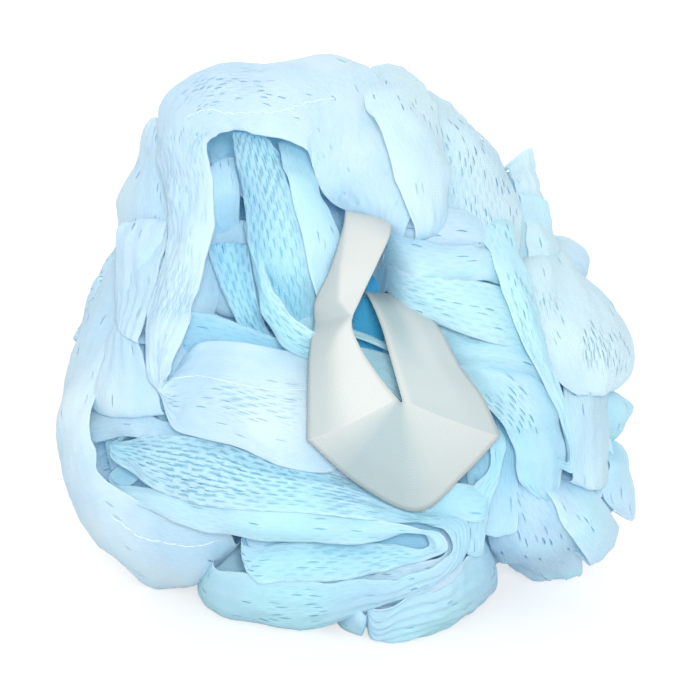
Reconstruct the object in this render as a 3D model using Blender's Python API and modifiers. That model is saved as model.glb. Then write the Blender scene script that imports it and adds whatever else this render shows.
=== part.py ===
# Bath pouf: one long strip of knitted nylon netting gathered back and forth into soft loops,
# cinched at its heart by a cord, with a satin ribbon as the hanging loop.
#
# The pouf is drawn in its own face frame and then leans back on the floor. In that frame x runs
# across the face, y up it and z out of it, and the loops are noted in millimetres as
# (x, y, z) of one selvedge followed by (x, y, z) of the other, station by station along the strip.

import math

import bmesh
import bpy
from mathutils import Vector

# Sizes in metres
POUF_RADIUS = 0.066
POUF_HALF_DEPTH = 0.050
LEAN = math.radians(20.0)
FLATTENED = 0.0030
FLOOR_TRIM = 0.0003
NET_THICKNESS = 0.0008
NECK_WIDTH = 0.0050
LOBE_RADIUS = 0.0160
LOBE_OFFSET = 0.0170
WAIST_RADIUS = 0.0050
TIE_CORD = 0.0020
TIE_TURNS = 2.25
RIBBON_WIDTH = 0.020
RIBBON_THICKNESS = 0.0006
CLEARANCE = 0.0004
BACK_WIDTH = 0.034
BACK_RADIUS = 0.052
BACK_SLACK = 0.005
BACK_DEPTH = 0.054

# Roundness of a strip's section, as a share of its width, and the longest step along it
CROWN = 0.15
TUCK = 0.15
RIBBON_CROWN = 0.06
ROW_PITCH = 0.016
SPARE_PITCH = 0.35
WIDE_STRIP = 0.016

# A loop's leg: where between the loop and the lobe its rows lie, how it narrows, how deep in the
# lobe it ends, and the depth in front of which it belongs to the front lobe
LEG_ROWS = (0.5, 1.0)
LEG_TAPER = 1.6
NECK_PLACE = 0.85
FRONT_FROM = -0.004

# The heart's profile from the crown of a lobe down to its shoulder: out from the axis, and up from
# the lobe's middle, as shares of its radius. The shoulder rises this far over the waist.
LOBE_PROFILE = ((0.0, 1.0), (0.6, 0.8), (0.9, 0.45), (1.0, 0.0))
SHOULDER_OUT, SHOULDER_UP = 0.85, 0.3
HEART_STEPS = 14

# The size at which the loops below were laid out
DRAWN_RADIUS = 66.0
DRAWN_HALF_DEPTH = 50.0
DRAWN_RIBBON = 20.0

# Where the tie sits in the face frame, in drawn millimetres
HEART = (3.0, 5.0, 0.0)

# Loops of the front and the rim
LOOPS = {
    # from the middle of the face out to the left, up, over the top and down again
    "hood": [
        (-3, -26, 40, -3, -1, 37), (-14, -25.5, 43, -13, -0.5, 41), (-25, -21, 43, -24, 1.5, 41),
        (-33, -19, 40, -32, 1.5, 38), (-38.5, -17, 37, -37.5, -2.5, 36),
        (-41.5, -11, 36, -40.8, -7, 38), (-44.5, -4.5, 36, -39.5, -3.5, 40),
        (-45, 4, 35, -37, 3, 42), (-43, 14, 35, -34, 11, 43), (-40, 25, 34, -31.5, 22, 43),
        (-41, 35, 31, -30, 35, 41), (-43, 46, 22, -31.5, 45, 36), (-41, 57, 8, -27, 49, 32),
        (-31, 63.5, 4, -21, 48, 36), (-20, 64.6, 8, -14, 46.5, 38), (-9, 65.8, 10, -9.5, 44, 38),
        (2, 64, 14, -8, 40, 37), (8, 57, 25, -6, 35, 37), (12, 45, 36, -3, 32, 36),
        (14, 33, 41, 0, 30.5, 37), (12, 26.5, 41, 2, 28, 35),
    ],
    "hood_fold": [
        (15, 59, 0, 6, 63, 2), (18, 57, 15, 3, 58, 24), (20, 50, 26, 5.5, 50.5, 38),
        (21.5, 42, 32, 9, 42, 43), (21.5, 34, 36, 11.5, 34, 45), (20, 25.5, 39, 14.5, 26, 45),
        (16, 21, 34, 12, 22, 37),
    ],
    # the upper right of the rim
    "rim_upper": [
        (21, 54, -6, 10, 57, -2), (27, 50.3, 6, 17, 51, 20), (33, 43.3, 12, 19.5, 42, 28),
        (36.5, 36, 18, 20, 33, 33), (38, 28, 24, 20.5, 26, 36), (36, 20.5, 31, 24, 22, 37),
    ],
    "ruffle_peak": [
        (40.6, 45.2, -2, 35.2, 41, 4), (42, 39, 4, 36.5, 36.5, 11), (44.4, 28, 9, 38.5, 28, 20),
        (46.5, 20, 12, 40, 19, 26),
    ],
    "ruffle_side": [
        (46, 25.8, -5, 41, 20, 15), (50, 25, -4, 46, 17, 13), (52.6, 22.6, -4, 49.5, 16.5, 9),
        (51.5, 18, -4, 50, 14, 8),
    ],
    "rim_right": [
        (47, 21.5, 4, 38, 20, 27), (52, 17, 8, 39.5, 14, 32), (58.7, 10.3, 8, 41.5, 7, 34),
        (63.4, 2, 6, 43.5, 0, 34), (63, -4.3, 6, 46, -7, 32), (57.5, -8.3, 10, 50, -10, 28),
    ],
    "fold_right": [
        (56.5, -5, 6, 46.5, -5, 28), (57.3, -13, 9, 48, -13, 28), (57.3, -22, 11, 48.5, -22, 28),
        (57.3, -30, 11, 49.5, -29.5, 24),
    ],
    "flap_upper": [
        (60, -9.8, -7, 56.5, -9, 4), (63.8, -12.8, -7, 57, -13, 4), (61.5, -17, -7, 57, -17, 4),
        (59, -20, -7, 56.5, -20, 2),
    ],
    "flap_middle": [
        (62.3, -22.3, -9, 58, -25, 2), (64, -28, -9, 57.3, -29, 3), (65, -33, -9, 57.3, -33.5, 3),
        (63.8, -38, -9, 60, -36.5, 2),
    ],
    "flap_lower": [
        (49, -28.5, 20, 44.5, -32, 28), (54, -31.5, 17, 47, -38, 26),
        (58.3, -36.7, 10, 50.5, -43, 20), (61, -40.8, 2, 53, -47.5, 9),
    ],
    "foot_right": [
        (40, -29, 27, 31, -31, 28), (45, -34, 26, 30.5, -38, 25), (48.5, -40, 20, 31.5, -44, 18),
        (51.5, -45, 6, 35, -48, 2), (50.5, -50.5, -14, 41, -50.8, -18),
    ],
    "cone": [
        (38, -4.8, 38, 24, -3.2, 40.4), (43.5, -9, 34, 28, -10, 40), (46.3, -16, 30, 33.5, -16, 38),
        (47.3, -23, 27, 36.5, -22, 34), (46.5, -29, 26, 37.5, -29, 30), (45, -33, 24, 42, -33, 27),
    ],
    "cheek_top": [
        (8, 25.5, 38, 9, 18, 38), (14, 24.7, 42, 14, 16, 45), (21, 23, 42, 21, 15, 45),
        (29, 22.5, 38, 29, 15.5, 42), (35, 22, 32, 35, 14, 36),
    ],
    "cheek_roll": [
        (8.5, 18.5, 38, 8, 13, 36), (13, 16.5, 45, 12, 8.5, 43), (21, 15.5, 47, 20, 5.5, 45),
        (30, 14.5, 44, 30, 2, 43), (37, 12, 38, 39, 0, 37), (40.5, 6, 34, 43, -3, 33),
    ],
    "cheek_under": [
        (17, 5.5, 38, 20, -4, 38), (26, 2.5, 41, 27, -4, 41), (34, 2, 40, 35, -5, 40),
        (41, -0.5, 36, 42, -8, 35), (45.5, -8, 31, 46.5, -14, 30), (48, -17, 26, 47.8, -21, 26),
    ],
    "edge_right": [
        (34, 29, 26, 28, 27, 34), (37.5, 20, 35, 32, 18, 41), (41, 10, 38, 34.5, 10, 43),
        (43.3, 1, 37, 38, 1, 42), (46, -7, 35, 42.5, -7, 38), (48.5, -17, 32, 46.5, -15, 34),
        (49, -27, 28, 48, -25, 29),
    ],
    # the left of the rim
    "rim_left_top": [
        (-44, 50.5, 0, -40, 50, 14), (-47.7, 41, 0, -41, 40, 22), (-52.5, 31, -2, -40, 30, 27),
        (-51, 24, 2, -42, 20, 30), (-51.3, 13, 18, -44.5, 10, 32), (-51, 5.5, 25, -47, 2, 33),
    ],
    "rim_left": [
        (-49.5, 23.5, -8, -44, 24, 8), (-54.5, 17, -4, -49, 16, 16), (-59, 7, 0, -51.5, 6, 22),
        (-62.5, -4, 2, -55.5, -4, 24), (-64.7, -16, 4, -58, -15, 25),
        (-63.5, -28, 4, -56, -27, 26), (-59.5, -39.7, 2, -47.5, -33, 28),
        (-51.2, -48.5, -2, -38, -38, 28), (-42, -53.3, -8, -28, -41, 27),
        (-36, -52, -8, -25, -43, 22),
    ],
    "panel_left": [
        (-52, 6.5, 22, -47, 5, 30), (-55.5, -2, 22, -45.5, -2, 32), (-57.5, -9, 20, -43, -8.5, 33),
        (-57.5, -13.5, 18, -41, -14, 32),
    ],
    "strip_left": [
        (-58.5, -14.5, 14, -57.5, -20.5, 16), (-52, -13.5, 23, -50, -19, 25),
        (-45, -14, 28, -44, -19.5, 31), (-38.5, -16, 31, -37, -21, 34),
    ],
    # the middle of the face
    "band_mesh": [
        (-25.5, 47.5, 28, -18, 47, 30), (-24.5, 40, 33, -15, 40, 37), (-23, 31, 36, -12, 31, 41),
        (-22, 22, 37, -9.5, 22, 42), (-20, 13, 36, -8, 13.5, 40), (-18, 6, 34, -8, 6, 36),
    ],
    "band_curl": [
        (-21, 19, 39, -19.5, 20, 40), (-19.5, 11, 41, -17, 12.5, 44), (-17.5, 5, 42, -13, 8, 46),
        (-14, 0.5, 42, -8.5, 4, 46), (-8, -2, 40, -4, 2, 42),
    ],
    "band_inner": [
        (-15.5, 46, 28, -9, 44.5, 29), (-14, 39, 39, -7, 36, 38), (-12, 32, 43, -4.5, 30, 41),
        (-10, 24, 45, -2, 24, 42), (-8.5, 16, 44, -3, 16, 41), (-6, 8, 41, -2, 8, 38),
    ],
    "tuck_top": [
        (-30.5, 41, 30, -25.5, 42, 28), (-30, 35, 33, -24.5, 35, 32), (-31, 27, 29, -24, 27, 29),
    ],
    "tuck_middle": [
        (-31, 23, 31, -22, 23, 32), (-29, 16, 34, -21.5, 16, 34), (-26, 9, 35, -20, 9, 35),
        (-23, 4, 33, -17.5, 3.5, 33),
    ],
    "tuck_low": [
        (-37, 9, 30, -39, -2, 29), (-30, 7.5, 34, -30, -2, 32), (-23, 5, 35, -23, -3, 33),
        (-15, 2, 35, -16, -5, 33),
    ],
    # the lower part of the face
    "pleats": [
        (-53.3, -22.5, 23, -51.5, -20.5, 23), (-49, -26.5, 28, -46, -19.3, 29),
        (-42, -31, 33, -38, -19, 35), (-33, -33.8, 37, -29, -20.3, 38),
        (-22, -35, 40, -20, -23.5, 40), (-10, -35.5, 41, -10, -26, 40),
        (3, -37, 41, 1, -29, 39), (15, -38, 38, 12, -34, 38), (24, -38, 32, 21, -34, 34),
    ],
    "curl": [
        (-50, -31.5, 23, -54, -28.5, 20), (-44, -35.3, 30, -43, -31, 31),
        (-34, -39.3, 33, -33, -33.5, 36), (-22, -41.3, 35, -22, -35, 39),
        (-8, -42.5, 37, -8, -35.5, 40), (5, -42, 38, 6, -37, 40), (12.5, -40.4, 38, 14, -38.7, 39),
        (16.5, -41.3, 37, 20, -40.8, 38), (17.5, -43.6, 36, 21.3, -43.8, 37),
        (15.5, -44, 35, 17, -46, 35), (10, -43, 34, 9, -48, 33), (0, -42.5, 32, -1, -50.5, 31),
        (-12, -42.5, 30, -13, -51, 29), (-24, -43, 27, -22, -50.5, 26),
    ],
    "swirl": [
        (-34, -52.5, -2, -30, -47.5, 20), (-30, -59.5, 4, -24, -50, 25),
        (-22, -61.5, 9, -15, -51.3, 28), (-13, -62.8, 12, -5, -51.7, 30),
        (-4, -60.3, 19, 5, -51, 32), (8, -56, 27, 13, -50, 34), (18.5, -53, 31, 19.5, -48, 36),
        (24, -48, 33, 22.3, -45, 37), (26, -42.5, 35, 22.6, -42.2, 37), (25, -37, 35, 21, -39.5, 37),
        (19, -34.5, 35, 17, -38, 36),
    ],
    "foot_left": [
        (-3, -60.5, 13, 0, -57, 25), (-0.5, -63.5, 17, 2, -57.5, 27), (2, -64, 17, 3.5, -59, 26),
    ],
    "foot": [
        (5, -65, 21, 5, -57.5, 28), (10, -65.6, 23, 13, -54, 31), (20, -62.3, 18, 20, -51.5, 32),
        (27.5, -57.6, 8, 25.5, -46.5, 31), (32.5, -49.7, -2, 29, -42, 27),
    ],
    "edge_low": [
        (33.3, -18, 33, 30.5, -19, 35), (33.3, -26, 33, 30.8, -26, 34), (31, -33, 33, 27, -31, 35),
        (30, -39, 31, 25, -38, 34), (28.5, -45.5, 28, 25, -44, 31),
    ],
    "bridge_low": [
        (16, -34.5, 35, 19, -29, 37), (23, -37, 35, 24, -29.5, 37), (29.5, -37, 32, 30, -30, 33),
    ],
}

# Loops with one end folded in under a neighbour, and which end that is
TUCKED = {
    "ruffle_peak": "last", "ruffle_side": "first", "fold_right": "first", "flap_upper": "last",
    "flap_middle": "first", "flap_lower": "first", "foot_right": "first", "cone": "first",
    "cheek_top": "last", "cheek_roll": "last", "cheek_under": "first", "edge_right": "last",
    "rim_left_top": "last", "panel_left": "last", "strip_left": "first", "band_mesh": "last",
    "band_curl": "first", "band_inner": "first", "tuck_top": "last", "tuck_middle": "first",
    "tuck_low": "last", "foot_left": "first", "edge_low": "last", "bridge_low": "first",
    "rim_upper": "last", "hood_fold": "last", "rim_right": "last", "swirl": "last",
}

# Ribbon: outer selvedge, then inner selvedge, from one end in the tie to the other
RIBBON = [
    (1.5, 3.4, -2, 1.5, 6.6, -2), (1.6, 3.4, 6, 1.6, 6.8, 6), (1.4, 6, 14, 2.8, 9, 13),
    (1, 16, 22, 5, 18, 21), (-0.5, 27, 31, 7.5, 25, 31), (-1, 30.5, 37, 9, 28, 38),
    (-0.8, 27.5, 42, 8.8, 25.3, 43), (-3, 18, 46.5, 6, 19, 47), (-7.3, 10.5, 48, 2.2, 10.8, 49.5),
    (-8.6, 4, 48.5, 0.4, 6, 51), (-9, -2.5, 49, 2, 1, 51.5), (-9.3, -10, 50, 6.5, -6, 52),
    (-9.4, -20, 49, 10.3, -10.6, 52.5),
    (2, -29.8, 46, 10.8, -11, 52.5), (15.3, -35.6, 43, 11, -11.4, 52.5),
    (25, -27.5, 43.5, 11.3, -11.4, 52.3), (32.8, -18.8, 45, 11.4, -11, 52),
    (29.3, -10.8, 47, 10.3, -7, 51), (24.3, -4, 48, 8.6, -1, 49), (19.6, 4.5, 47, 7.4, 4, 46.5),
    (16, 8, 43, 6.4, 8.3, 42), (11, 10, 34, 5.5, 8, 33), (7, 8, 22, 4.5, 5.5, 22),
    (4.6, 6.6, 10, 4.5, 3.4, 10), (4.5, 6.6, -2, 4.5, 3.4, -2),
]

# Loops of the back, which fan out round its middle: each runs between two polar angles, in
# degrees from the middle of the back, and laps over the next by a share of the radius
BACK_LOOPS = 9
BACK_INNER = 16.0
BACK_OUTER = 95.0
BACK_ROWS = 5
BACK_LAP = 0.12
BACK_SAG = 0.03
BACK_OVERLAP = 1.25
BACK_HIGH_SIDE = math.radians(190.0)

# No two back loops are alike: each starts a few degrees off the last, drifts round by a few
# degrees on its way out, and lies a little higher or lower
START_SHIFT, START_STEP = 4.0, 2.4
DRIFT, DRIFT_STEP, DRIFT_TURN = 9.0, 1.9, 2.0
LIE_SHIFT, LIE_STEP = 0.02, 3.7


def clear_scene():
    for obj in list(bpy.data.objects):
        bpy.data.objects.remove(obj, do_unlink=True)


def drawn(x, y, z):
    """A point noted in drawn millimetres, at the pouf's own size."""
    across = POUF_RADIUS / DRAWN_RADIUS
    out = POUF_HALF_DEPTH / DRAWN_HALF_DEPTH
    return Vector((x * across, y * across, z * out))


def stations(noted):
    return [(drawn(*row[:3]), drawn(*row[3:])) for row in noted]


def back_loops():
    """The rule for the loops that the front hides, a fan of strips over the back."""
    loops = {}
    for k in range(BACK_LOOPS):
        rows = []
        for step in range(BACK_ROWS):
            share = step / (BACK_ROWS - 1)
            shift = START_SHIFT * math.sin(START_STEP * k)
            theta = math.radians(BACK_INNER + (BACK_OUTER - BACK_INNER) * share + shift)
            drift = DRIFT * math.sin(DRIFT_STEP * k + DRIFT_TURN * share)
            azimuth = math.radians(360.0 * k / BACK_LOOPS + drift)
            room = 2 * math.pi * BACK_RADIUS * math.sin(theta) / BACK_LOOPS
            width = min(BACK_WIDTH, BACK_OVERLAP * room)
            pair = []
            for edge in (-0.5, 0.5):
                turn = azimuth + edge * width / (BACK_RADIUS * math.sin(theta))
                toward = math.cos(turn - BACK_HIGH_SIDE)
                radius = (BACK_RADIUS + BACK_SLACK * toward) * math.sin(theta)
                under = max(0.0, -math.sin(turn)) ** 2
                sag = BACK_SAG * under * math.sin(math.pi * min(1.0, theta / (math.pi / 2)))
                lie = LIE_SHIFT * math.cos(LIE_STEP * k)
                lift = 1.0 + BACK_LAP * edge + lie + sag
                pair.append(Vector((radius * math.cos(turn), radius * math.sin(turn),
                                    -BACK_DEPTH * math.cos(theta))) * lift)
            rows.append(tuple(pair))
        loops[f"back_{k}"] = rows
    return loops


def with_legs(rows, tucked=""):
    """Adds the gathered legs by which a loop runs in to the tie. A tucked end only turns in."""
    def leg(row, short):
        middle, half = (row[0] + row[1]) / 2, (row[1] - row[0]) / 2
        depth = LOBE_OFFSET if middle.z > FRONT_FROM else -LOBE_OFFSET
        lobe = drawn(*HEART) + Vector((0.0, 0.0, depth))
        neck = lobe + (middle - lobe).normalized() * LOBE_RADIUS * NECK_PLACE
        made = []
        for share in ((TUCK,) if short else LEG_ROWS):
            width = half.length * (1 - share) ** LEG_TAPER + NECK_WIDTH / 2 * share
            made.append((middle.lerp(neck, share) - half.normalized() * width,
                         middle.lerp(neck, share) + half.normalized() * width))
        return made
    return leg(rows[0], tucked == "first")[::-1] + rows + leg(rows[-1], tucked == "last")


def between(p0, p1, p2, p3, t):
    """Centripetal Catmull-Rom curve from p1 to p2."""
    k1, k2, k3 = (max((b - a).length, 1e-6) ** 0.5 for a, b in ((p0, p1), (p1, p2), (p2, p3)))
    m1 = (p2 - p1) + k2 * ((p1 - p0) / k1 - (p2 - p0) / (k1 + k2))
    m2 = (p2 - p1) + k2 * ((p3 - p2) / k3 - (p3 - p1) / (k2 + k3))
    t2, t3 = t * t, t * t * t
    return ((2 * t3 - 3 * t2 + 1) * p1 + (t3 - 2 * t2 + t) * m1
            + (3 * t2 - 2 * t3) * p2 + (t3 - t2) * m2)


def smoothed(rows, pitch):
    """The strip's rows, with more between stations that lie farther apart than the pitch."""
    ends = [rows[0]] + rows + [rows[-1]]
    made = []
    for i in range(len(rows) - 1):
        (a0, b0), (a1, b1), (a2, b2), (a3, b3) = ends[i:i + 4]
        gap = max((a2 - a1).length, (b2 - b1).length)
        parts = max(1, math.ceil(gap / pitch - SPARE_PITCH))
        for k in range(parts):
            t = k / parts
            made.append((between(a0, a1, a2, a3, t), between(b0, b1, b2, b3, t)))
    made.append(rows[-1])
    return made


def section(a, b, segments, crown):
    """Points across a strip, its middle crowned away from the heart."""
    across = b - a
    away = (a + b) / 2 - drawn(*HEART)
    away -= across * (away.dot(across) / max(across.length_squared, 1e-12))
    away = away.normalized() * across.length * crown
    return [a.lerp(b, k / segments) + away * 4 * (k / segments) * (1 - k / segments)
            for k in range(segments + 1)]


def strip_points(rows, crown=CROWN):
    width = max((b - a).length for a, b in rows)
    segments = 3 if width > WIDE_STRIP else 2
    return [section(a, b, segments, crown) for a, b in smoothed(rows, ROW_PITCH)]


def level(point):
    """Height over the pouf's middle once it leans back."""
    return point.y * math.cos(LEAN) + point.z * math.sin(LEAN)


def settle(grids):
    """Presses the lowest ruffles flat on the floor and returns the floor's level."""
    lowest = min(level(p) for grid in grids.values() for row in grid for p in row)
    floor = lowest + FLATTENED
    up = Vector((0.0, math.cos(LEAN), math.sin(LEAN)))
    for grid in grids.values():
        for row in grid:
            for point in row:
                sunk = floor - level(point)
                if sunk > 0:
                    point += up * sunk
    return floor


def new_collection(name):
    made = bpy.data.collections.new(name)
    bpy.context.scene.collection.children.link(made)
    return made


def sheet_object(name, grid, thickness, collection, parent):
    """A grid laid over the strip's rows, thickened to a closed sheet."""
    mesh = bpy.data.meshes.new(name)
    bm = bmesh.new()
    long_way, cross_way = len(grid) - 1, len(grid[0]) - 1
    bmesh.ops.create_grid(bm, x_segments=long_way, y_segments=cross_way, size=1.0)
    for vert in bm.verts:
        i = round((vert.co.x + 1) / 2 * long_way)
        j = round((vert.co.y + 1) / 2 * cross_way)
        vert.co = grid[i][j]
    bm.to_mesh(mesh)
    bm.free()
    obj = bpy.data.objects.new(name, mesh)
    collection.objects.link(obj)
    obj.parent = parent
    solid = obj.modifiers.new("Thickness", "SOLIDIFY")
    solid.thickness = thickness
    solid.offset = 0.0
    return obj


def bunch_object(collection, parent):
    """The gathered heart of the netting: two lobes with the tie's waist between them."""
    mesh = bpy.data.meshes.new("netting")
    half = (TIE_TURNS * (TIE_CORD + CLEARANCE) + TIE_CORD) / 2 + CLEARANCE
    shape = [(LOBE_RADIUS * out, LOBE_OFFSET + LOBE_RADIUS * up) for out, up in LOBE_PROFILE]
    shape += [(LOBE_RADIUS * SHOULDER_OUT, half + LOBE_RADIUS * SHOULDER_UP), (WAIST_RADIUS, half)]
    shape += [(x, -z) for x, z in reversed(shape)]
    mesh.from_pydata([(x, 0.0, z) for x, z in shape], [(i, i + 1) for i in range(len(shape) - 1)], [])
    obj = bpy.data.objects.new("netting", mesh)
    collection.objects.link(obj)
    obj.parent = parent
    obj.location = drawn(*HEART)
    turned = obj.modifiers.new("Turned", "SCREW")
    turned.steps = turned.render_steps = HEART_STEPS
    turned.use_merge_vertices = True
    turned.merge_threshold = 0.00001
    turned.use_normal_calculate = True
    return obj


def tie_object(collection, parent):
    """The cord round the waist, a little over two turns."""
    radius = WAIST_RADIUS + CLEARANCE + TIE_CORD / 2
    pitch = TIE_CORD + CLEARANCE
    steps = round(TIE_TURNS * 12)
    curve = bpy.data.curves.new("centre_tie", "CURVE")
    curve.dimensions = "3D"
    curve.bevel_depth = TIE_CORD / 2
    curve.bevel_resolution = 2
    curve.use_fill_caps = True
    spline = curve.splines.new("POLY")
    spline.points.add(steps)
    for i, point in enumerate(spline.points):
        angle = 2 * math.pi * TIE_TURNS * i / steps
        height = pitch * TIE_TURNS * (i / steps - 0.5)
        point.co = (radius * math.cos(angle), radius * math.sin(angle), height, 1.0)
    obj = bpy.data.objects.new("centre_tie", curve)
    collection.objects.link(obj)
    obj.parent = parent
    obj.location = drawn(*HEART)
    return obj


def floor_object(collection):
    """The floor that the pressed ruffles lie flat on."""
    side, deep = 6 * POUF_RADIUS, 0.02
    bpy.ops.mesh.primitive_cube_add(size=1.0, location=(0.0, 0.0, -deep / 2))
    floor = bpy.context.object
    floor.name = floor.data.name = "floor_face"
    floor.scale = (side, side, deep)
    for held in list(floor.users_collection):
        held.objects.unlink(floor)
    collection.objects.link(floor)
    floor.hide_render = True
    floor.display_type = "WIRE"
    return floor


def material(name, colour, roughness, sheen=0.0):
    made = bpy.data.materials.new(name)
    made.use_nodes = True
    shader = made.node_tree.nodes["Principled BSDF"]
    shader.inputs["Base Color"].default_value = (*colour, 1.0)
    shader.inputs["Roughness"].default_value = roughness
    shader.inputs["Metallic"].default_value = 0.0
    shader.inputs["Sheen Weight"].default_value = sheen
    return made


def widened(rows, width, extra=0.0):
    """The ribbon's rows at its own width, with more at both selvedges for a cutter."""
    share = width / drawn(DRAWN_RIBBON, 0, 0).x
    made = []
    for a, b in rows:
        middle, half = (a + b) / 2, (b - a) / 2 * share
        half += half.normalized() * extra
        made.append((middle - half, middle + half))
    return made


def ribbon_points(rows, extra=0.0):
    rows = widened(rows, RIBBON_WIDTH, extra)
    return [section(a, b, 3, RIBBON_CROWN) for a, b in smoothed(rows, ROW_PITCH)]


def join(obj, others, operation):
    cut = obj.modifiers.new(operation.title(), "BOOLEAN")
    cut.operation = operation
    cut.solver = "MANIFOLD"
    if isinstance(others, bpy.types.Collection):
        cut.operand_type = "COLLECTION"
        cut.collection = others
    else:
        cut.object = others


def main():
    clear_scene()
    pouf = new_collection("bath_pouf")
    helpers = new_collection("bath_pouf_loops")
    cutters = new_collection("bath_pouf_cutters")
    helpers.hide_render = cutters.hide_render = True

    lean = bpy.data.objects.new("lean", None)
    pouf.objects.link(lean)

    loops = {name: stations(noted) for name, noted in LOOPS.items()}
    loops.update(back_loops())
    grids = {name: strip_points(with_legs(rows, TUCKED.get(name, "")))
             for name, rows in loops.items()}
    floor = settle(grids)

    ribbon_grid = ribbon_points(stations(RIBBON))

    # The frame's origin is under the middle of the pouf, on the floor
    points = [p for grid in [*grids.values(), ribbon_grid] for row in grid for p in row]
    across = [p.x for p in points]
    ahead = [p.y * math.sin(LEAN) - p.z * math.cos(LEAN) for p in points]
    lean.location = (-(min(across) + max(across)) / 2, -(min(ahead) + max(ahead)) / 2,
                     NET_THICKNESS / 2 - FLOOR_TRIM - floor)
    lean.rotation_euler = (math.pi / 2 - LEAN, 0.0, 0.0)

    netting = bunch_object(pouf, lean)
    for name, grid in grids.items():
        loop = sheet_object(name, grid, NET_THICKNESS, helpers, lean)
        loop.hide_render = True
        loop.display_type = "WIRE"
    join(netting, helpers, "UNION")

    ribbon = sheet_object("ribbon_loop", ribbon_grid, RIBBON_THICKNESS, pouf, lean)
    room_grid = ribbon_points(stations(RIBBON), CLEARANCE)
    room = sheet_object("ribbon_room", room_grid, RIBBON_THICKNESS + 2 * CLEARANCE, cutters, lean)
    room.hide_render = True
    room.display_type = "WIRE"
    join(netting, room, "DIFFERENCE")

    join(netting, floor_object(cutters), "DIFFERENCE")

    tie = tie_object(pouf, lean)

    netting.data.materials.append(material("netting_blue", (0.50, 0.78, 0.95), 0.55, 0.3))
    ribbon.data.materials.append(material("ribbon_satin", (0.70, 0.74, 0.72), 0.35, 0.2))
    tie.data.materials.append(material("tie_cord", (0.80, 0.80, 0.78), 0.8))


main()
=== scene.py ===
"""Dresses the bath pouf: fine knitted netting on every gathered loop, stitched seams, a pleated
heart, the satin ribbon, the cord, and the stage that they are looked at on."""

import math

import bpy
import numpy as np
from bpy.props import FloatProperty, FloatVectorProperty, PointerProperty
from mathutils import Matrix, Vector


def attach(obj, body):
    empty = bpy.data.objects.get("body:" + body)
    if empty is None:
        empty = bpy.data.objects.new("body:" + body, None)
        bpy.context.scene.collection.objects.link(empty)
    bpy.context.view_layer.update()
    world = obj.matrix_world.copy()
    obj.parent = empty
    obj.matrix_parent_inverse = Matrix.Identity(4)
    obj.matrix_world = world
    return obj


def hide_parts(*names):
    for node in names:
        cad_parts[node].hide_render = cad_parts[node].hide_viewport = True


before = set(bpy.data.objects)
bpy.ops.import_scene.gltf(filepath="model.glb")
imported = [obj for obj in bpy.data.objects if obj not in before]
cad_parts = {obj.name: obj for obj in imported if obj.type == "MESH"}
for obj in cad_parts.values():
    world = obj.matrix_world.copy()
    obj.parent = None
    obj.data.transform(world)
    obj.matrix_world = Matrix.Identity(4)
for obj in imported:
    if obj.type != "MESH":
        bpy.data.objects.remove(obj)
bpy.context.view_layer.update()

bl_info = {
    "name": "Bath Pouf",
    "version": (1, 0, 0),
    "blender": (4, 5, 0),
    "location": "3D View > Sidebar > Bath Pouf",
    "description": "Gathered knitted netting with a satin ribbon loop",
    "category": "Add Mesh",
}

MM = 0.001
# A unit of the textures' map, in millimetres
MAP_UNIT = 10.0

# Where the pouf's middle sits over the floor, and how far its face leans back
MIDDLE = Vector((0.0000668, -0.0012402, 0.0527405))
LEAN = math.radians(20.0)
# How far the lowest net stays over the floor, and the share of its depth under that which it
# keeps, so that no two layers that are pressed flat lie at the same height
FLOOR_GAP = 0.0004
FLOOR_GIVE = 0.04

# The pouf is drawn in its own face frame, in millimetres: x across the face, y up it, z out of it
HEART = np.array((3.0, 5.0, 0.0))
# The heart: how far its two lobes' centres lie from its middle, and their radius
LOBE_OFFSET = 17.0
LOBE_RADIUS = 16.0
# The waist between the lobes, how much wider it is beside the tie, how far the tie reaches from
# the middle, and how much the net gives way under it
WAIST_RADIUS = 5.0
WAIST_ROOM = 0.2
TIE_HALF = 4.5
WAIST_SQUEEZE = 0.96
# Points round the heart, and levels from its back to its front
HEART_TURNS, HEART_LEVELS = 220, 60
# Loops whose ends lie deeper than this run in to the back lobe
LOBE_SPLIT = -4
# A leg narrows by this power on its way in, to this width and this share of the lobe's radius
LEG_TAPER = 0.9
NECK_WIDTH = 5.0
NECK_REACH = 0.85
# How far a tucked end runs in, as a share of the way
TUCK = 0.30
# How high a strip arches between its selvedges, as a share of its width
CROWN = 0.15

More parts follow.
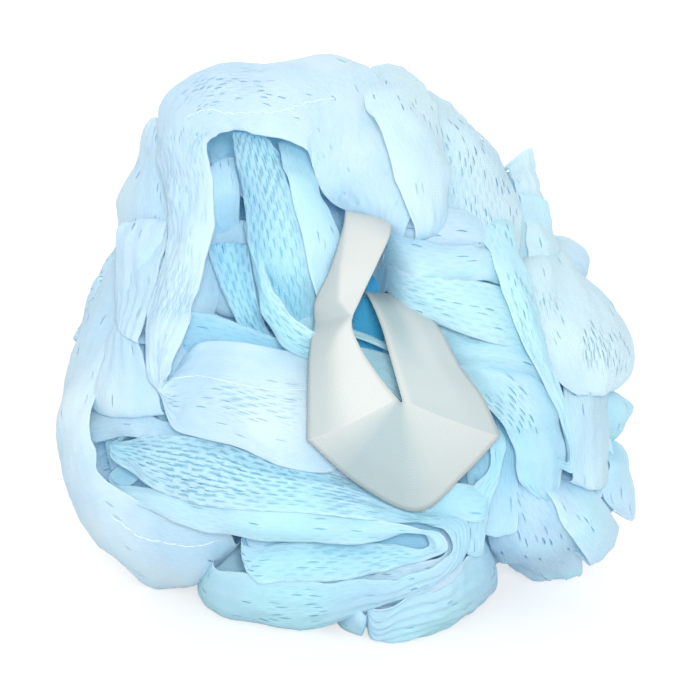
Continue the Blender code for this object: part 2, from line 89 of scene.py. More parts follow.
# Loops of the front and the rim, as stations from end to end: one selvedge, then the other
LOOPS = {
    # from the middle of the face out to the left, up, over the top and down again
    "hood": [
        (-3, -26, 40, -3, -1, 37), (-14, -25.5, 43, -13, -0.5, 41), (-25, -21, 43, -24, 1.5, 41),
        (-33, -19, 40, -32, 1.5, 38), (-38.5, -17, 37, -37.5, -2.5, 36),
        (-41.5, -11, 36, -40.8, -7, 38), (-44.5, -4.5, 36, -39.5, -3.5, 40),
        (-45, 4, 35, -37, 3, 42), (-43, 14, 35, -34, 11, 43), (-40, 25, 34, -31.5, 22, 43),
        (-41, 35, 31, -30, 35, 41), (-43, 46, 22, -31.5, 45, 36), (-41, 57, 8, -27, 49, 32),
        (-31, 63.5, 4, -21, 48, 36), (-20, 64.6, 8, -14, 46.5, 38), (-9, 65.8, 10, -9.5, 44, 38),
        (2, 64, 14, -8, 40, 37), (8, 57, 25, -6, 35, 37), (12, 45, 36, -3, 32, 36),
        (14, 33, 41, 0, 30.5, 37), (12, 26.5, 41, 2, 28, 35),
    ],
    "hood_fold": [
        (15, 59, 0, 6, 63, 2), (18, 57, 15, 3, 58, 24), (20, 50, 26, 5.5, 50.5, 38),
        (21.5, 42, 32, 9, 42, 43), (21.5, 34, 36, 11.5, 34, 45), (20, 25.5, 39, 14.5, 26, 45),
        (16, 21, 34, 12, 22, 37),
    ],
    # the upper right of the rim
    "rim_upper": [
        (21, 54, -6, 10, 57, -2), (27, 50.3, 6, 17, 51, 20), (33, 43.3, 12, 19.5, 42, 28),
        (36.5, 36, 18, 20, 33, 33), (38, 28, 24, 20.5, 26, 36), (36, 20.5, 31, 24, 22, 37),
    ],
    "ruffle_peak": [
        (40.6, 45.2, -2, 35.2, 41, 4), (42, 39, 4, 36.5, 36.5, 11), (44.4, 28, 9, 38.5, 28, 20),
        (46.5, 20, 12, 40, 19, 26),
    ],
    "ruffle_side": [
        (46, 25.8, -5, 41, 20, 15), (50, 25, -4, 46, 17, 13), (52.6, 22.6, -4, 49.5, 16.5, 9),
        (51.5, 18, -4, 50, 14, 8),
    ],
    "rim_right": [
        (47, 21.5, 4, 38, 20, 27), (52, 17, 8, 39.5, 14, 32), (58.7, 10.3, 8, 41.5, 7, 34),
        (63.4, 2, 6, 43.5, 0, 34), (63, -4.3, 6, 46, -7, 32), (57.5, -8.3, 10, 50, -10, 28),
    ],
    "fold_right": [
        (56.5, -5, 6, 46.5, -5, 28), (57.3, -13, 9, 48, -13, 28), (57.3, -22, 11, 48.5, -22, 28),
        (57.3, -30, 11, 49.5, -29.5, 24),
    ],
    "flap_upper": [
        (60, -9.8, -7, 56.5, -9, 4), (63.8, -12.8, -7, 57, -13, 4), (61.5, -17, -7, 57, -17, 4),
        (59, -20, -7, 56.5, -20, 2),
    ],
    "flap_middle": [
        (62.3, -22.3, -9, 58, -25, 2), (64, -28, -9, 57.3, -29, 3), (65, -33, -9, 57.3, -33.5, 3),
        (63.8, -38, -9, 60, -36.5, 2),
    ],
    "flap_lower": [
        (49, -28.5, 20, 44.5, -32, 28), (54, -31.5, 17, 47, -38, 26),
        (58.3, -36.7, 10, 50.5, -43, 20), (61, -40.8, 2, 53, -47.5, 9),
    ],
    "foot_right": [
        (40, -29, 27, 31, -31, 28), (45, -34, 26, 30.5, -38, 25), (48.5, -40, 20, 31.5, -44, 18),
        (51.5, -45, 6, 35, -48, 2), (50.5, -50.5, -14, 41, -50.8, -18),
    ],
    "cone": [
        (38, -4.8, 38, 24, -3.2, 40.4), (43.5, -9, 34, 28, -10, 40), (46.3, -16, 30, 33.5, -16, 38),
        (47.3, -23, 27, 36.5, -22, 34), (46.5, -29, 26, 37.5, -29, 30), (45, -33, 24, 42, -33, 27),
    ],
    "cheek_top": [
        (8, 25.5, 38, 9, 18, 38), (14, 24.7, 42, 14, 16, 45), (21, 23, 42, 21, 15, 45),
        (29, 22.5, 38, 29, 15.5, 42), (35, 22, 32, 35, 14, 36),
    ],
    "cheek_roll": [
        (8.5, 18.5, 38, 8, 13, 36), (13, 16.5, 45, 12, 8.5, 43), (21, 15.5, 47, 20, 5.5, 45),
        (30, 14.5, 44, 30, 2, 43), (37, 12, 38, 39, 0, 37), (40.5, 6, 34, 43, -3, 33),
    ],
    "cheek_under": [
        (17, 5.5, 38, 20, -4, 38), (26, 2.5, 41, 27, -4, 41), (34, 2, 40, 35, -5, 40),
        (41, -0.5, 36, 42, -8, 35), (45.5, -8, 31, 46.5, -14, 30), (48, -17, 26, 47.8, -21, 26),
    ],
    "edge_right": [
        (34, 29, 26, 28, 27, 34), (37.5, 20, 35, 32, 18, 41), (41, 10, 38, 34.5, 10, 43),
        (43.3, 1, 37, 38, 1, 42), (46, -7, 35, 42.5, -7, 38), (48.5, -17, 32, 46.5, -15, 34),
        (49, -27, 28, 48, -25, 29),
    ],
    # the left of the rim
    "rim_left_top": [
        (-44, 50.5, 0, -40, 50, 14), (-47.7, 41, 0, -41, 40, 22), (-52.5, 31, -2, -40, 30, 27),
        (-51, 24, 2, -42, 20, 30), (-51.3, 13, 18, -44.5, 10, 32), (-51, 5.5, 25, -47, 2, 33),
    ],
    "rim_left": [
        (-49.5, 23.5, -8, -44, 24, 8), (-54.5, 17, -4, -49, 16, 16), (-59, 7, 0, -51.5, 6, 22),
        (-62.5, -4, 2, -55.5, -4, 24), (-64.7, -16, 4, -58, -15, 25),
        (-63.5, -28, 4, -56, -27, 26), (-59.5, -39.7, 2, -47.5, -33, 28),
        (-51.2, -48.5, -2, -38, -38, 28), (-42, -53.3, -8, -28, -41, 27),
        (-36, -52, -8, -25, -43, 22),
    ],
    "panel_left": [
        (-52, 6.5, 22, -47, 5, 30), (-55.5, -2, 22, -45.5, -2, 32), (-57.5, -9, 20, -43, -8.5, 33),
        (-57.5, -13.5, 18, -41, -14, 32),
    ],
    "strip_left": [
        (-58.5, -14.5, 14, -57.5, -20.5, 16), (-52, -13.5, 23, -50, -19, 25),
        (-45, -14, 28, -44, -19.5, 31), (-38.5, -16, 31, -37, -21, 34),
    ],
    # the middle of the face
    "band_mesh": [
        (-25.5, 47.5, 28, -18, 47, 30), (-24.5, 40, 33, -15, 40, 37), (-23, 31, 36, -12, 31, 41),
        (-22, 22, 37, -9.5, 22, 42), (-20, 13, 36, -8, 13.5, 40), (-18, 6, 34, -8, 6, 36),
    ],
    "band_curl": [
        (-21, 19, 39, -19.5, 20, 40), (-19.5, 11, 41, -17, 12.5, 44), (-17.5, 5, 42, -13, 8, 46),
        (-14, 0.5, 42, -8.5, 4, 46), (-8, -2, 40, -4, 2, 42),
    ],
    "band_inner": [
        (-15.5, 46, 28, -9, 44.5, 29), (-14, 39, 39, -7, 36, 38), (-12, 32, 43, -4.5, 30, 41),
        (-10, 24, 45, -2, 24, 42), (-8.5, 16, 44, -3, 16, 41), (-6, 8, 41, -2, 8, 38),
    ],
    "tuck_top": [
        (-30.5, 41, 30, -25.5, 42, 28), (-30, 35, 33, -24.5, 35, 32), (-31, 27, 29, -24, 27, 29),
    ],
    "tuck_middle": [
        (-31, 23, 31, -22, 23, 32), (-29, 16, 34, -21.5, 16, 34), (-26, 9, 35, -20, 9, 35),
        (-23, 4, 33, -17.5, 3.5, 33),
    ],
    "tuck_low": [
        (-37, 9, 30, -39, -2, 29), (-30, 7.5, 34, -30, -2, 32), (-23, 5, 35, -23, -3, 33),
        (-15, 2, 35, -16, -5, 33),
    ],
    # the lower part of the face
    "pleats": [
        (-53.3, -22.5, 23, -51.5, -20.5, 23), (-49, -26.5, 28, -46, -19.3, 29),
        (-42, -31, 33, -38, -19, 35), (-33, -33.8, 37, -29, -20.3, 38),
        (-22, -35, 40, -20, -23.5, 40), (-10, -35.5, 41, -10, -26, 40),
        (3, -37, 41, 1, -29, 39), (15, -38, 38, 12, -34, 38), (24, -38, 32, 21, -34, 34),
    ],
    "curl": [
        (-50, -31.5, 23, -54, -28.5, 20), (-44, -35.3, 30, -43, -31, 31),
        (-34, -39.3, 33, -33, -33.5, 36), (-22, -41.3, 35, -22, -35, 39),
        (-8, -42.5, 37, -8, -35.5, 40), (5, -42, 38, 6, -37, 40), (12.5, -40.4, 38, 14, -38.7, 39),
        (16.5, -41.3, 37, 20, -40.8, 38), (17.5, -43.6, 36, 21.3, -43.8, 37),
        (15.5, -44, 35, 17, -46, 35), (10, -43, 34, 9, -48, 33), (0, -42.5, 32, -1, -50.5, 31),
        (-12, -42.5, 30, -13, -51, 29), (-24, -43, 27, -22, -50.5, 26),
    ],
    "swirl": [
        (-34, -52.5, -2, -30, -47.5, 20), (-30, -59.5, 4, -24, -50, 25),
        (-22, -61.5, 9, -15, -51.3, 28), (-13, -62.8, 12, -5, -51.7, 30),
        (-4, -60.3, 19, 5, -51, 32), (8, -56, 27, 13, -50, 34), (18.5, -53, 31, 19.5, -48, 36),
        (24, -48, 33, 22.3, -45, 37), (26, -42.5, 35, 22.6, -42.2, 37),
        (25, -37, 35, 21, -39.5, 37),
        (19, -34.5, 35, 17, -38, 36),
    ],
    "foot_left": [
        (-3, -60.5, 13, 0, -57, 25), (-0.5, -63.5, 17, 2, -57.5, 27), (2, -64, 17, 3.5, -59, 26),
    ],
    "foot": [
        (5, -65, 21, 5, -57.5, 28), (10, -65.6, 23, 13, -54, 31), (20, -62.3, 18, 20, -51.5, 32),
        (27.5, -57.6, 8, 25.5, -46.5, 31), (32.5, -49.7, -2, 29, -42, 27),
    ],
    "edge_low": [
        (33.3, -18, 33, 30.5, -19, 35), (33.3, -26, 33, 30.8, -26, 34), (31, -33, 33, 27, -31, 35),
        (30, -39, 31, 25, -38, 34), (28.5, -45.5, 28, 25, -44, 31),
    ],
    "bridge_low": [
        (16, -34.5, 35, 19, -29, 37), (23, -37, 35, 24, -29.5, 37), (29.5, -37, 32, 30, -30, 33),
    ],
}

# Loops with one end folded in under a neighbour, and which end that is
TUCKED = {
    "ruffle_peak": "last", "ruffle_side": "first", "fold_right": "first", "flap_upper": "last",
    "flap_middle": "first", "flap_lower": "first", "foot_right": "first", "cone": "first",
    "cheek_top": "last", "cheek_roll": "last", "cheek_under": "first", "edge_right": "last",
    "rim_left_top": "last", "panel_left": "last", "strip_left": "first", "band_mesh": "last",
    "band_curl": "first", "band_inner": "first", "tuck_top": "last", "tuck_middle": "first",
    "tuck_low": "last", "foot_left": "first", "edge_low": "last", "bridge_low": "first",
    "rim_upper": "last", "hood_fold": "last", "rim_right": "last", "swirl": "last",
}

# Width that the ribbon is traced at, how finely it is laid out, and how far it arches and waves
RIBBON_TRACED = 20 * MM
RIBBON_COLUMNS = 16
RIBBON_PITCH = 0.8
RIBBON_CROWN = 0.06
RIBBON_WAVE = 0.12

# Ribbon: outer selvedge, then inner selvedge, from one end in the tie to the other
RIBBON = [
    (1.5, 3.4, -2, 1.5, 6.6, -2), (1.6, 3.4, 6, 1.6, 6.8, 6), (1.4, 6, 14, 2.8, 9, 13),
    (1, 16, 22, 5, 18, 21), (-0.5, 27, 31, 7.5, 25, 31), (-1, 30.5, 37, 9, 28, 38),
    (-0.8, 27.5, 42, 8.8, 25.3, 43), (-3, 18, 46.5, 6, 19, 47), (-7.3, 10.5, 48, 2.2, 10.8, 49.5),
    (-8.6, 4, 48.5, 0.4, 6, 51), (-9, -2.5, 49, 2, 1, 51.5), (-9.3, -10, 50, 6.5, -6, 52),
    (-9.4, -20, 49, 10.3, -10.6, 52.5),
    (2, -29.8, 46, 10.8, -11, 52.5), (15.3, -35.6, 43, 11, -11.4, 52.5),
    (25, -27.5, 43.5, 11.3, -11.4, 52.3), (32.8, -18.8, 45, 11.4, -11, 52),
    (29.3, -10.8, 47, 10.3, -7, 51), (24.3, -4, 48, 8.6, -1, 49), (19.6, 4.5, 47, 7.4, 4, 46.5),
    (16, 8, 43, 6.4, 8.3, 42), (11, 10, 34, 5.5, 8, 33), (7, 8, 22, 4.5, 5.5, 22),
    (4.6, 6.6, 10, 4.5, 3.4, 10), (4.5, 6.6, -2, 4.5, 3.4, -2),
]

# Rows of the ribbon at which it is creased, and how much of its duller back colour is laid on
# between them, where it lies turned over: its back, with painted shade that changes along it
CREASES = (12, 16)
TURNED_ROWS = (12, 12.4, 12.8, 13.7, 14.6, 16)
TURNED_SHARES = (0.1, 0.35, 0.8, 0.75, 0.3, 0.15)

# How much painted shade the left strand takes where it turns away beside its lengthwise fold, and
# at which rows how soft the change is
LEFT_PAINTED_SHADE = 0.40
BLUR_ROWS = (0, 8.6, 10)
BLUR_WIDTHS = (0.05, 0.06, 0.35)
# How much painted shade the right strand takes but for its bright selvedge, and how much painted
# shadow is added in the band that turns away: its place and width across, and the rows over which
# it sets in
RIGHT_PAINTED_SHADE = 0.50
BRIGHT_FROM = 0.97
PAINTED_SHADOW_SHARE = 0.6
SHADED_PLACE, SHADED_WIDTH = 0.70, 0.16
SHADED_FROM, SHADED_ROWS = 17.6, 1.6

# The strands' lengthwise folds: at which rows, how far across, and how steep
FOLD_ROWS = (0, 5, 6, 7, 8, 8.7, 9.4, 10, 11, 12, 16, 17, 19, 21, 24)
FOLD_PLACES = (0, 0.0, 0.05, 0.23, 0.57, 1.0, 0.64, 0.48, 0.36, 0.35, 0.3, 0.3, 0.3, 0.3, 0)
FOLD_DEPTHS = (0, 0.0, 0.5, 0.65, 0.62, 0.55, 0.45, 0.35, 0.3, 0.2, 0.0, 0.2, 0.4, 0.4, 0)

# Where the satin strays from the stations above: row, then x and y of either selvedge
EASED = {
    6: (-0.6, 0.0, 0.0, 0.0), 7: (-1.5, 0.0, 0.0, 0.0), 8: (-1.0, 0.0, 0.0, 0.0),
    9: (-0.6, 0.0, 0.0, 0.0), 10: (-0.3, 0.0, 0.0, 0.0), 19: (0.0, 0.0, -0.5, 1.0),
    20: (-0.5, 1.5, -1.9, 2.5), 21: (-0.5, 2.0, -2.4, 4.5),
}

# The hidden loops fan out over the back. Their number, the steps along each, its width, how far
# out it lies, how much further on the fullest side, how deep the back is, and the angles from
# its middle between which a loop runs.
BACK_LOOPS = 9
BACK_STEPS = 4
BACK_WIDTH = 34.0
BACK_RADIUS = 52.0
BACK_SLACK = 5.0
BACK_FULLEST = math.radians(190.0)
BACK_DEPTH = 54.0
BACK_INNER = 16.0
BACK_OUTER = 95.0
# A loop's width at most, as a share of its part of the way round
BACK_OVERLAP = 1.25
# How unevenly the loops lie: in degrees, then as shares of their distance from the middle
BACK_SHIFT = 4.0
BACK_TWIST = 9.0
BACK_LAP = 0.12
BACK_SAG = 0.03
BACK_STEP_OUT = 0.02

# The loops of each piece of netting, and its dye
PIECES = {
    "netting_hood": ("lavender", ("hood",)),
    "netting_upper": ("pale", ("hood_fold", "rim_upper", "ruffle_peak", "ruffle_side", "tuck_top",
                               "rim_left_top")),
    "netting_left": ("lavender", ("rim_left", "panel_left", "strip_left")),
    "netting_middle": ("cyan", ("band_mesh", "band_curl", "band_inner", "tuck_middle", "tuck_low",
                                "nest_thread", "nest_low")),
    "netting_nest": ("blue", ("nest_curl", "nest_left", "nest_top", "nest_leg", "nest_cheek",
                              "nest_side", "nest_mid", "nest_lap", "nest_knot", "nest_foot",
                              "nest_floor", "nest_rim", "nest_under")),
    "netting_cheek": ("cyan", ("cheek_top", "cheek_roll", "cheek_under", "edge_right", "cone",
                               "edge_low")),
    "netting_side": ("pale", ("rim_right", "fold_right")),
    "netting_right": ("blue", ("flap_upper", "flap_middle", "flap_lower", "foot_right")),
    "netting_lower": ("cyan", ("pleats", "curl", "bridge_low")),
    "netting_foot": ("shaded_teal", ("swirl", "foot_left", "foot")),
    "netting_back_low": ("blue", ("back_4", "back_5", "back_6", "back_7", "back_8")),
    "netting_back_high": ("lavender", ("back_0", "back_1", "back_2", "back_3")),
}

# Share of the cells that are open where no patch below says otherwise
OPEN_SHARE = {
    "band_mesh": 0.75, "band_curl": 0.5, "tuck_middle": 0.55, "pleats": 0.5, "tuck_low": 0.25,
    "cheek_top": 0.10, "cheek_roll": 0.2, "cone": 0.04, "edge_right": 0.2, "rim_upper": 0.10,
    "rim_right": 0.03, "hood": 0.03, "rim_left": 0.02, "curl": 0.10, "swirl": 0.05,
    "foot_right": 0.12, "rim_left_top": 0.06, "tuck_top": 0.2, "edge_low": 0.2,
    "nest_lap": 0.3,
}
REST_SHARE = 0.07
BACK_SHARE = 0.30

# The back's selvedges wave this many times as far as the face's
BACK_FLUTTER = 5.0

# Patches of the face where the net is pulled open: loop, then x and y from and to, then the share
PATCHES = [
    ("hood", -39, 54, -19, 62, 0.36), ("hood", -9, 57, 11, 61, 0.10),
    ("hood", -44, 29, -32, 48, 0.55), ("hood", -44, 7, -34, 28, 0.50),
    ("hood", -32, -15.5, -26.5, -8.5, 0.20), ("hood", -26.5, -15.5, -12, -8, 0.72),
    ("hood", -39.5, -12, -36, -9, 0.40),
    ("rim_left_top", -48, 19, -41, 29, 0.5),
    ("cheek_roll", 12, 4, 31, 17, 0.35), ("edge_right", 35, 3, 41, 17, 0.7),
    ("rim_right", 52, -3.5, 61, 5, 0.9), ("rim_right", 39, 7, 46, 13, 0.5),
    ("rim_upper", 20, 24, 36, 51, 0.30),
    ("cone", 28, -15.5, 35, -10, 0.6), ("cone", 36, -19, 41, -8.5, 0.6),
    ("foot_right", 29, -40, 38, -31, 0.7),
    ("curl", -26, -52, 13, -42, 0.45), ("swirl", -19, -59, -7, -53, 0.4),
    ("pleats", -45, -33, 0, -21, 0.85), ("rim_left", -44, -48, -28, -38, 0.08),
]
# How far in millimetres a patch takes to fade into the rest
PATCH_EDGE = 3.0

# Running stitches: loop, then stations and the places across the strip that they pass
SEAMS = [
    ("hood", (11.5, 12.4, 13.8, 15.3, 16.1), (0.68, 0.85, 0.85, 0.65, 0.48)),
    ("hood", (0.3, 0.7, 1.8, 3.3, 3.9), (0.69, 0.68, 0.60, 0.65, 0.70)),
    ("rim_left", (6.0, 6.8, 7.25, 7.7, 8.0), (0.74, 0.75, 0.83, 0.88, 0.94)),
]

# The stitches' middle height over the net, and how far they rise and dip from there
STITCH_LIFT, STITCH_RISE = 0.04, 0.20

# How strongly each loop is pleated lengthwise, where it isn't as the rest
PLEATED = {
    "hood": 0.30, "rim_left": 0.25, "rim_right": 0.35, "rim_upper": 0.5, "hood_fold": 0.4,
    "band_mesh": 0.5, "pleats": 1.6, "flap_middle": 0.5, "cheek_top": 0.5, "curl": 0.6,
}

# How far apart the pleats lie in millimetres, how much they wander in radians, and the way along
# in which they drift by one
PLEAT_LENGTH = 5.2
PLEAT_WANDER = 1.4
PLEAT_DRIFT = 40
# They are the deeper the more a strip narrows: this less its share of its full width, held between
# the least and the most
GATHER_FULL, GATHER_LEAST, GATHER_MOST = 1.25, 0.08, 0.8
# The waves of a selvedge: their length over a full turn, how much they wander, and how quickly
# they fade inwards
FLUTTER_LENGTH = 3.4
FLUTTER_WANDER = 2.8
FLUTTER_EDGE = 5
# The soft unevenness is a sum of waves of these lengths, and the crinkles are the same, smaller
WAVES = 6
WAVE_LENGTHS = (9, 30)
CRINKLE_SCALE = 0.3

# A cell's length in rows
CELL_ROWS = 4
# How far an open cell pushes its wales apart, as a share of its width, and the least of its width
# and how much more it may be, as shares of the usual slit
PUSH_SHARE = 0.42
SLIT_LEAST, SLIT_SPREAD = 0.55, 0.75
# Where their share lies between these two, open cells gather in patches, this strongly and finely
PATCHY_FROM, PATCHY_TO = 0.02, 0.9
PATCHY_STRENGTH = 0.9
PATCHY_SCALE = 1.7

# The tube's far half: rows for each of its own, how far inside the selvedges it ends, how squarely
# it is rounded, and how far its threads are shifted against the near half's
LINING_STEP = 2
LINING_INSET = 0.03
LINING_ROUND = 0.35
LINING_SHIFT = 3.1

# The curl of a selvedge, as lines this many hems further out and down
HEM_ROLL = ((0.55, 0.35), (0.30, 1.0), (-0.9, 0.9))

# Linear colours of the netting: two tints of its dye that it drifts between, the painted shade
# tint that it takes deep between the loops, and how strongly the painted shade in the gaps between
# its threads shows, out of 1
DYE_AND_SHADE_TINTS = {
    "lavender": ((0.820, 0.950, 1.000), (0.690, 0.880, 0.995), (0.400, 0.790, 1.000), 0.85),
    "pale": ((0.790, 0.955, 1.000), (0.700, 0.890, 1.000), (0.400, 0.820, 1.000), 0.75),
    "blue": ((0.660, 0.930, 1.000), (0.700, 0.880, 1.000), (0.350, 0.770, 1.000), 0.85),
    "cyan": ((0.620, 0.940, 1.000), (0.660, 0.900, 1.000), (0.300, 0.770, 1.000), 1.00),
    # A blue-green tone for the pieces at the foot, a little darker too as painted shade, as the
    # foot lies under the pouf
    "shaded_teal": ((0.590, 0.900, 0.970), (0.600, 0.850, 0.970), (0.290, 0.720, 0.950), 1.00),
    # The heart's colours: marked at the full depth, it shows only its deep tint, painted shade
    # throughout
    "deep": ((0.300, 0.720, 1.000), (0.400, 0.780, 1.000), (0.090, 0.580, 0.940), 0.40),
}
# Painted shade in the gaps between the threads, for the shade seen through the knit's openings
GAP_SHADE_TINT = (0.210, 0.500, 0.640)

# How strongly the mesh's painted gap shade shows where the net lies closed, and where it is pulled
# wide open
GAP_LEAST, GAP_MOST = 0.04, 1.00
# A gap's length in units of the map, the share of it that it is drawn at before it is stretched,
# how far it bends, how much of a wale its soft sides take up, and the power that narrows it
GAP_LENGTH = 0.42
GAP_STRETCH = 0.38
GAP_BEND = (0.34, 0.15, 0.0)
GAP_SIDES = 0.45
GAP_NARROWING = 1.9
# How much of the gaps is left where the threads lie tight, and how deep they are in the relief,
# in which a wale counts 1
TIGHT_SHARE = 0.25
GAP_RELIEF = 1.5
COURSE_RELIEF = 0.45
# The painted highlight along the selvedges: its colour, how much of it shows at most, and its width
# in millimetres
SELVEDGE_HIGHLIGHT = (0.80, 0.95, 1.0)
SELVEDGE_HIGHLIGHT_SHARE = 0.35
SELVEDGE_HIGHLIGHT_WIDTH = 1.6
TIE_COLOUR = (0.78, 0.80, 0.80)

# Bands of a wave texture of scale 1 are this far apart
WAVE_PERIOD = 0.314
# Distance between the net's courses and between the satin's weft threads, in units of the map,
# and how deep the weft is beside the ribs
COURSE_PITCH = 0.07
WEFT_PITCH = 0.035
WEFT_RELIEF = 0.35

# The pouf's outer shell is felt in this many directions, over a cone of this half angle, from
# rows this far apart at these places across each strip. The focus says how little the
# neighbouring directions count.
SHELL_DIRECTIONS = 420
SHELL_SPREAD = math.cos(math.radians(15.0))
SHELL_ROWS = 3
SHELL_PLACES = (0.1, 0.5, 0.9)
SHELL_FOCUS = 45.0
# The painted shade deepens the dye between these depths under it
PALE_DEPTH, DEEP_DEPTH = 4.0, 30.0

# The inner layers round the heart, from the back to the front: depth, most radius, and how far
# each stays inside the loops' outline
CORES = [(-36.0, 27.0, 9.0), (-19.0, 38.0, 9.0), (-3.0, 70.0, 4.5), (12.0, 70.0, 9.5),
         (24.0, 33.0, 12.0)]
# Stations round each, its inner radius, and how often it is gathered
CORE_STATIONS = 96
CORE_INNER = 13.0
CORE_GATHERS = 13
# How far their rims wave in and out, and forwards and back
CORE_WAVE = 1.2
CORE_FOLD = 2.3
# How finely the outline is followed, and how far on either side of a station, in radians
CORE_PITCH = 2.0
CORE_LOOK = 0.07
# How much painted shade their dye takes with depth, as a share of that of the loops
CORE_PAINTED_SHADE = 0.5

# Bands that show only inside the face's openings, as stations too
NEST = {
    "nest_thread": [(0, 4.6, 37, 0, 3.2, 37), (4, 3.2, 37.6, 4, 1.9, 37.6),
                    (9, 1.0, 37, 9, -0.4, 37)],
    "nest_low": [(-3, 1.5, 38, -4, -12, 36), (4, 0, 39, 4, -13.5, 38),
                 (12, -2, 37, 13, -17, 36)],
    "nest_curl": [(-22, -37, 27, -22, -45, 26), (-4, -38, 29, -4, -47, 28),
                  (10, -37.5, 30, 11, -46, 29), (20, -37, 31, 22, -44, 30)],
    "nest_lap": [(-22, -46, 23, -22, -54, 22), (-4, -46, 27, -4, -55, 26),
                 (8, -46.5, 30.5, 10, -54.5, 30), (17, -46.5, 33.5, 20, -52.5, 32),
                 (21, -44.5, 34, 25, -47, 31)],
    "nest_left": [(-34, 26, 24, -20, 28, 28), (-31, 17, 27, -16, 17, 30), (-29, 8, 28, -14, 6, 31)],
    "nest_top": [(-6, 48, 22, -4, 38, 27), (2, 44, 24, 3, 33, 29), (8, 36, 28, 6, 25, 32)],
    "nest_leg": [(-39, 29, 28, -28, 29, 28), (-39, 16, 29, -28, 16, 29), (-42, 6, 31, -31, 5, 30),
                 (-44, -6, 31, -35, -9, 31)],
    "nest_cheek": [(7, 31, 36, 8, 21, 36), (16, 31, 38, 16, 20, 40), (24, 31, 35, 24, 19, 38),
                   (32, 28, 27, 32, 18, 33)],
    "nest_side": [(33, 34, 17, 43, 34, 12), (34, 26, 22, 45, 25, 15), (36, 17, 25, 47, 15, 20)],
    "nest_mid": [(-20, -19, 35, -20, -28, 35), (-8, -20, 36.5, -8, -29.5, 37),
                 (5, -22, 37, 5, -32, 36)],
    "nest_knot": [(-19, 13, 32, -16, 2, 32), (-10, 12, 35, -9, 0, 35), (-1, 10, 35, -2, -3, 35)],
    "nest_foot": [(25, -19, 30, 36, -18, 29), (26, -28, 30, 37, -28, 28),
                  (27, -40, 29, 36, -40, 26)],
    "nest_rim": [(-50, 28, 20, -40, 28, 28), (-52, 10, 21, -42, 10, 28), (-53, 0, 21, -42, 0, 29),
                 (-52, -8, 22, -40, -8, 30), (-53, -16, 18, -39, -15, 28)],
    "nest_under": [(13, 9, 37, 14, 0, 37), (22, 7, 39.5, 22, -2, 39.5),
                   (32, 4, 38.5, 33, -3, 38.5), (40, 2, 34, 41, -5, 34)],
    "nest_floor": [(-4, -49, 25, -3, -59, 19), (8, -49, 27, 8, -61, 20),
                   (21, -45, 28, 23, -57, 20)],
}

# Loops that start further in, under a neighbour, than the stations above say
DEEPER_STARTS = {"band_curl": (-23, 28, 33, -17, 29, 35)}

# How much painted shade the dye of an inner band takes, as a share of how deep the band lies
NEST_PAINTED_SHADE = {"nest_low": 0.6, "nest_lap": 0.15, "nest_curl": 1.6, "nest_foot": 1.2}
NEST_REST_PAINTED_SHADE = 0.35

# The stage: the floor's width in metres, and each lamp's angle and the way it shines
FLOOR_SIZE = 12.0
KEY_LIGHT = (math.radians(12.0), (-0.05, 0.92, -0.42))
RIM_LIGHT = (math.radians(40.0), (0.30, -0.70, -0.75))


class NettingSettings(bpy.types.PropertyGroup):
    wale_pitch: FloatProperty(
        name="Wale Pitch", description="Distance between the lengthwise threads",
        default=1.25 * MM, min=0.6 * MM, max=5 * MM, unit="LENGTH")
    row_pitch: FloatProperty(
        name="Row Pitch", description="Quarter of a net cell's length",
        default=1.05 * MM, min=0.4 * MM, max=4 * MM, unit="LENGTH")
    slit_width: FloatProperty(
        name="Slit Width", description="Width of an open cell, as a share of the wale pitch",
        default=0.34, min=0.1, max=0.9, subtype="FACTOR")
    pleat_depth: FloatProperty(
        name="Pleat Depth", description="Depth of the lengthwise pleats where the net is gathered",
        default=0.40 * MM, min=0.0, max=4 * MM, unit="LENGTH")
    ripple: FloatProperty(
        name="Ripple", description="Depth of the soft unevenness of the net",
        default=0.50 * MM, min=0.0, max=3 * MM, unit="LENGTH")
    crinkle: FloatProperty(
        name="Crinkle", description="Depth of the fine crinkles",
        default=0.13 * MM, min=0.0, max=1 * MM, unit="LENGTH")
    flutter: FloatProperty(
        name="Flutter", description="How far the selvedges wave",
        default=0.45 * MM, min=0.0, max=3 * MM, unit="LENGTH")
    hem: FloatProperty(
        name="Hem", description="Width of the selvedge's curled rim",
        default=0.45 * MM, min=0.1 * MM, max=2 * MM, unit="LENGTH")
    lining_gap: FloatProperty(
        name="Lining Gap", description="Distance between the two halves of the flattened net tube",
        default=1.5 * MM, min=0.3 * MM, max=5 * MM, unit="LENGTH")
    translucency: FloatProperty(
        name="Translucency", description="Share of the light that passes through the net",
        default=0.38, min=0.0, max=1.0, subtype="FACTOR")


class RibbonSettings(bpy.types.PropertyGroup):
    width: FloatProperty(
        name="Width", description="Width of the ribbon from selvedge to selvedge",
        default=20 * MM, min=5 * MM, max=40 * MM, unit="LENGTH")
    thickness: FloatProperty(
        name="Thickness", description="Thickness of the satin",
        default=0.35 * MM, min=0.1 * MM, max=1 * MM, unit="LENGTH")
    rib_pitch: FloatProperty(
        name="Rib Pitch", description="Distance between the weave's fine ribs",
        default=0.55 * MM, min=0.2 * MM, max=2 * MM, unit="LENGTH")
    colour: FloatVectorProperty(
        name="Face Colour", description="Colour of the satin's bright face",
        default=(0.600, 0.630, 0.615), min=0.0, max=1.0, size=3, subtype="COLOR")
    # The duller back colour is also laid on as painted shade where the strands turn away
    back_colour: FloatVectorProperty(
        name="Back Colour", description="Colour of the satin's duller back",
        default=(0.340, 0.450, 0.475), min=0.0, max=1.0, size=3, subtype="COLOR")


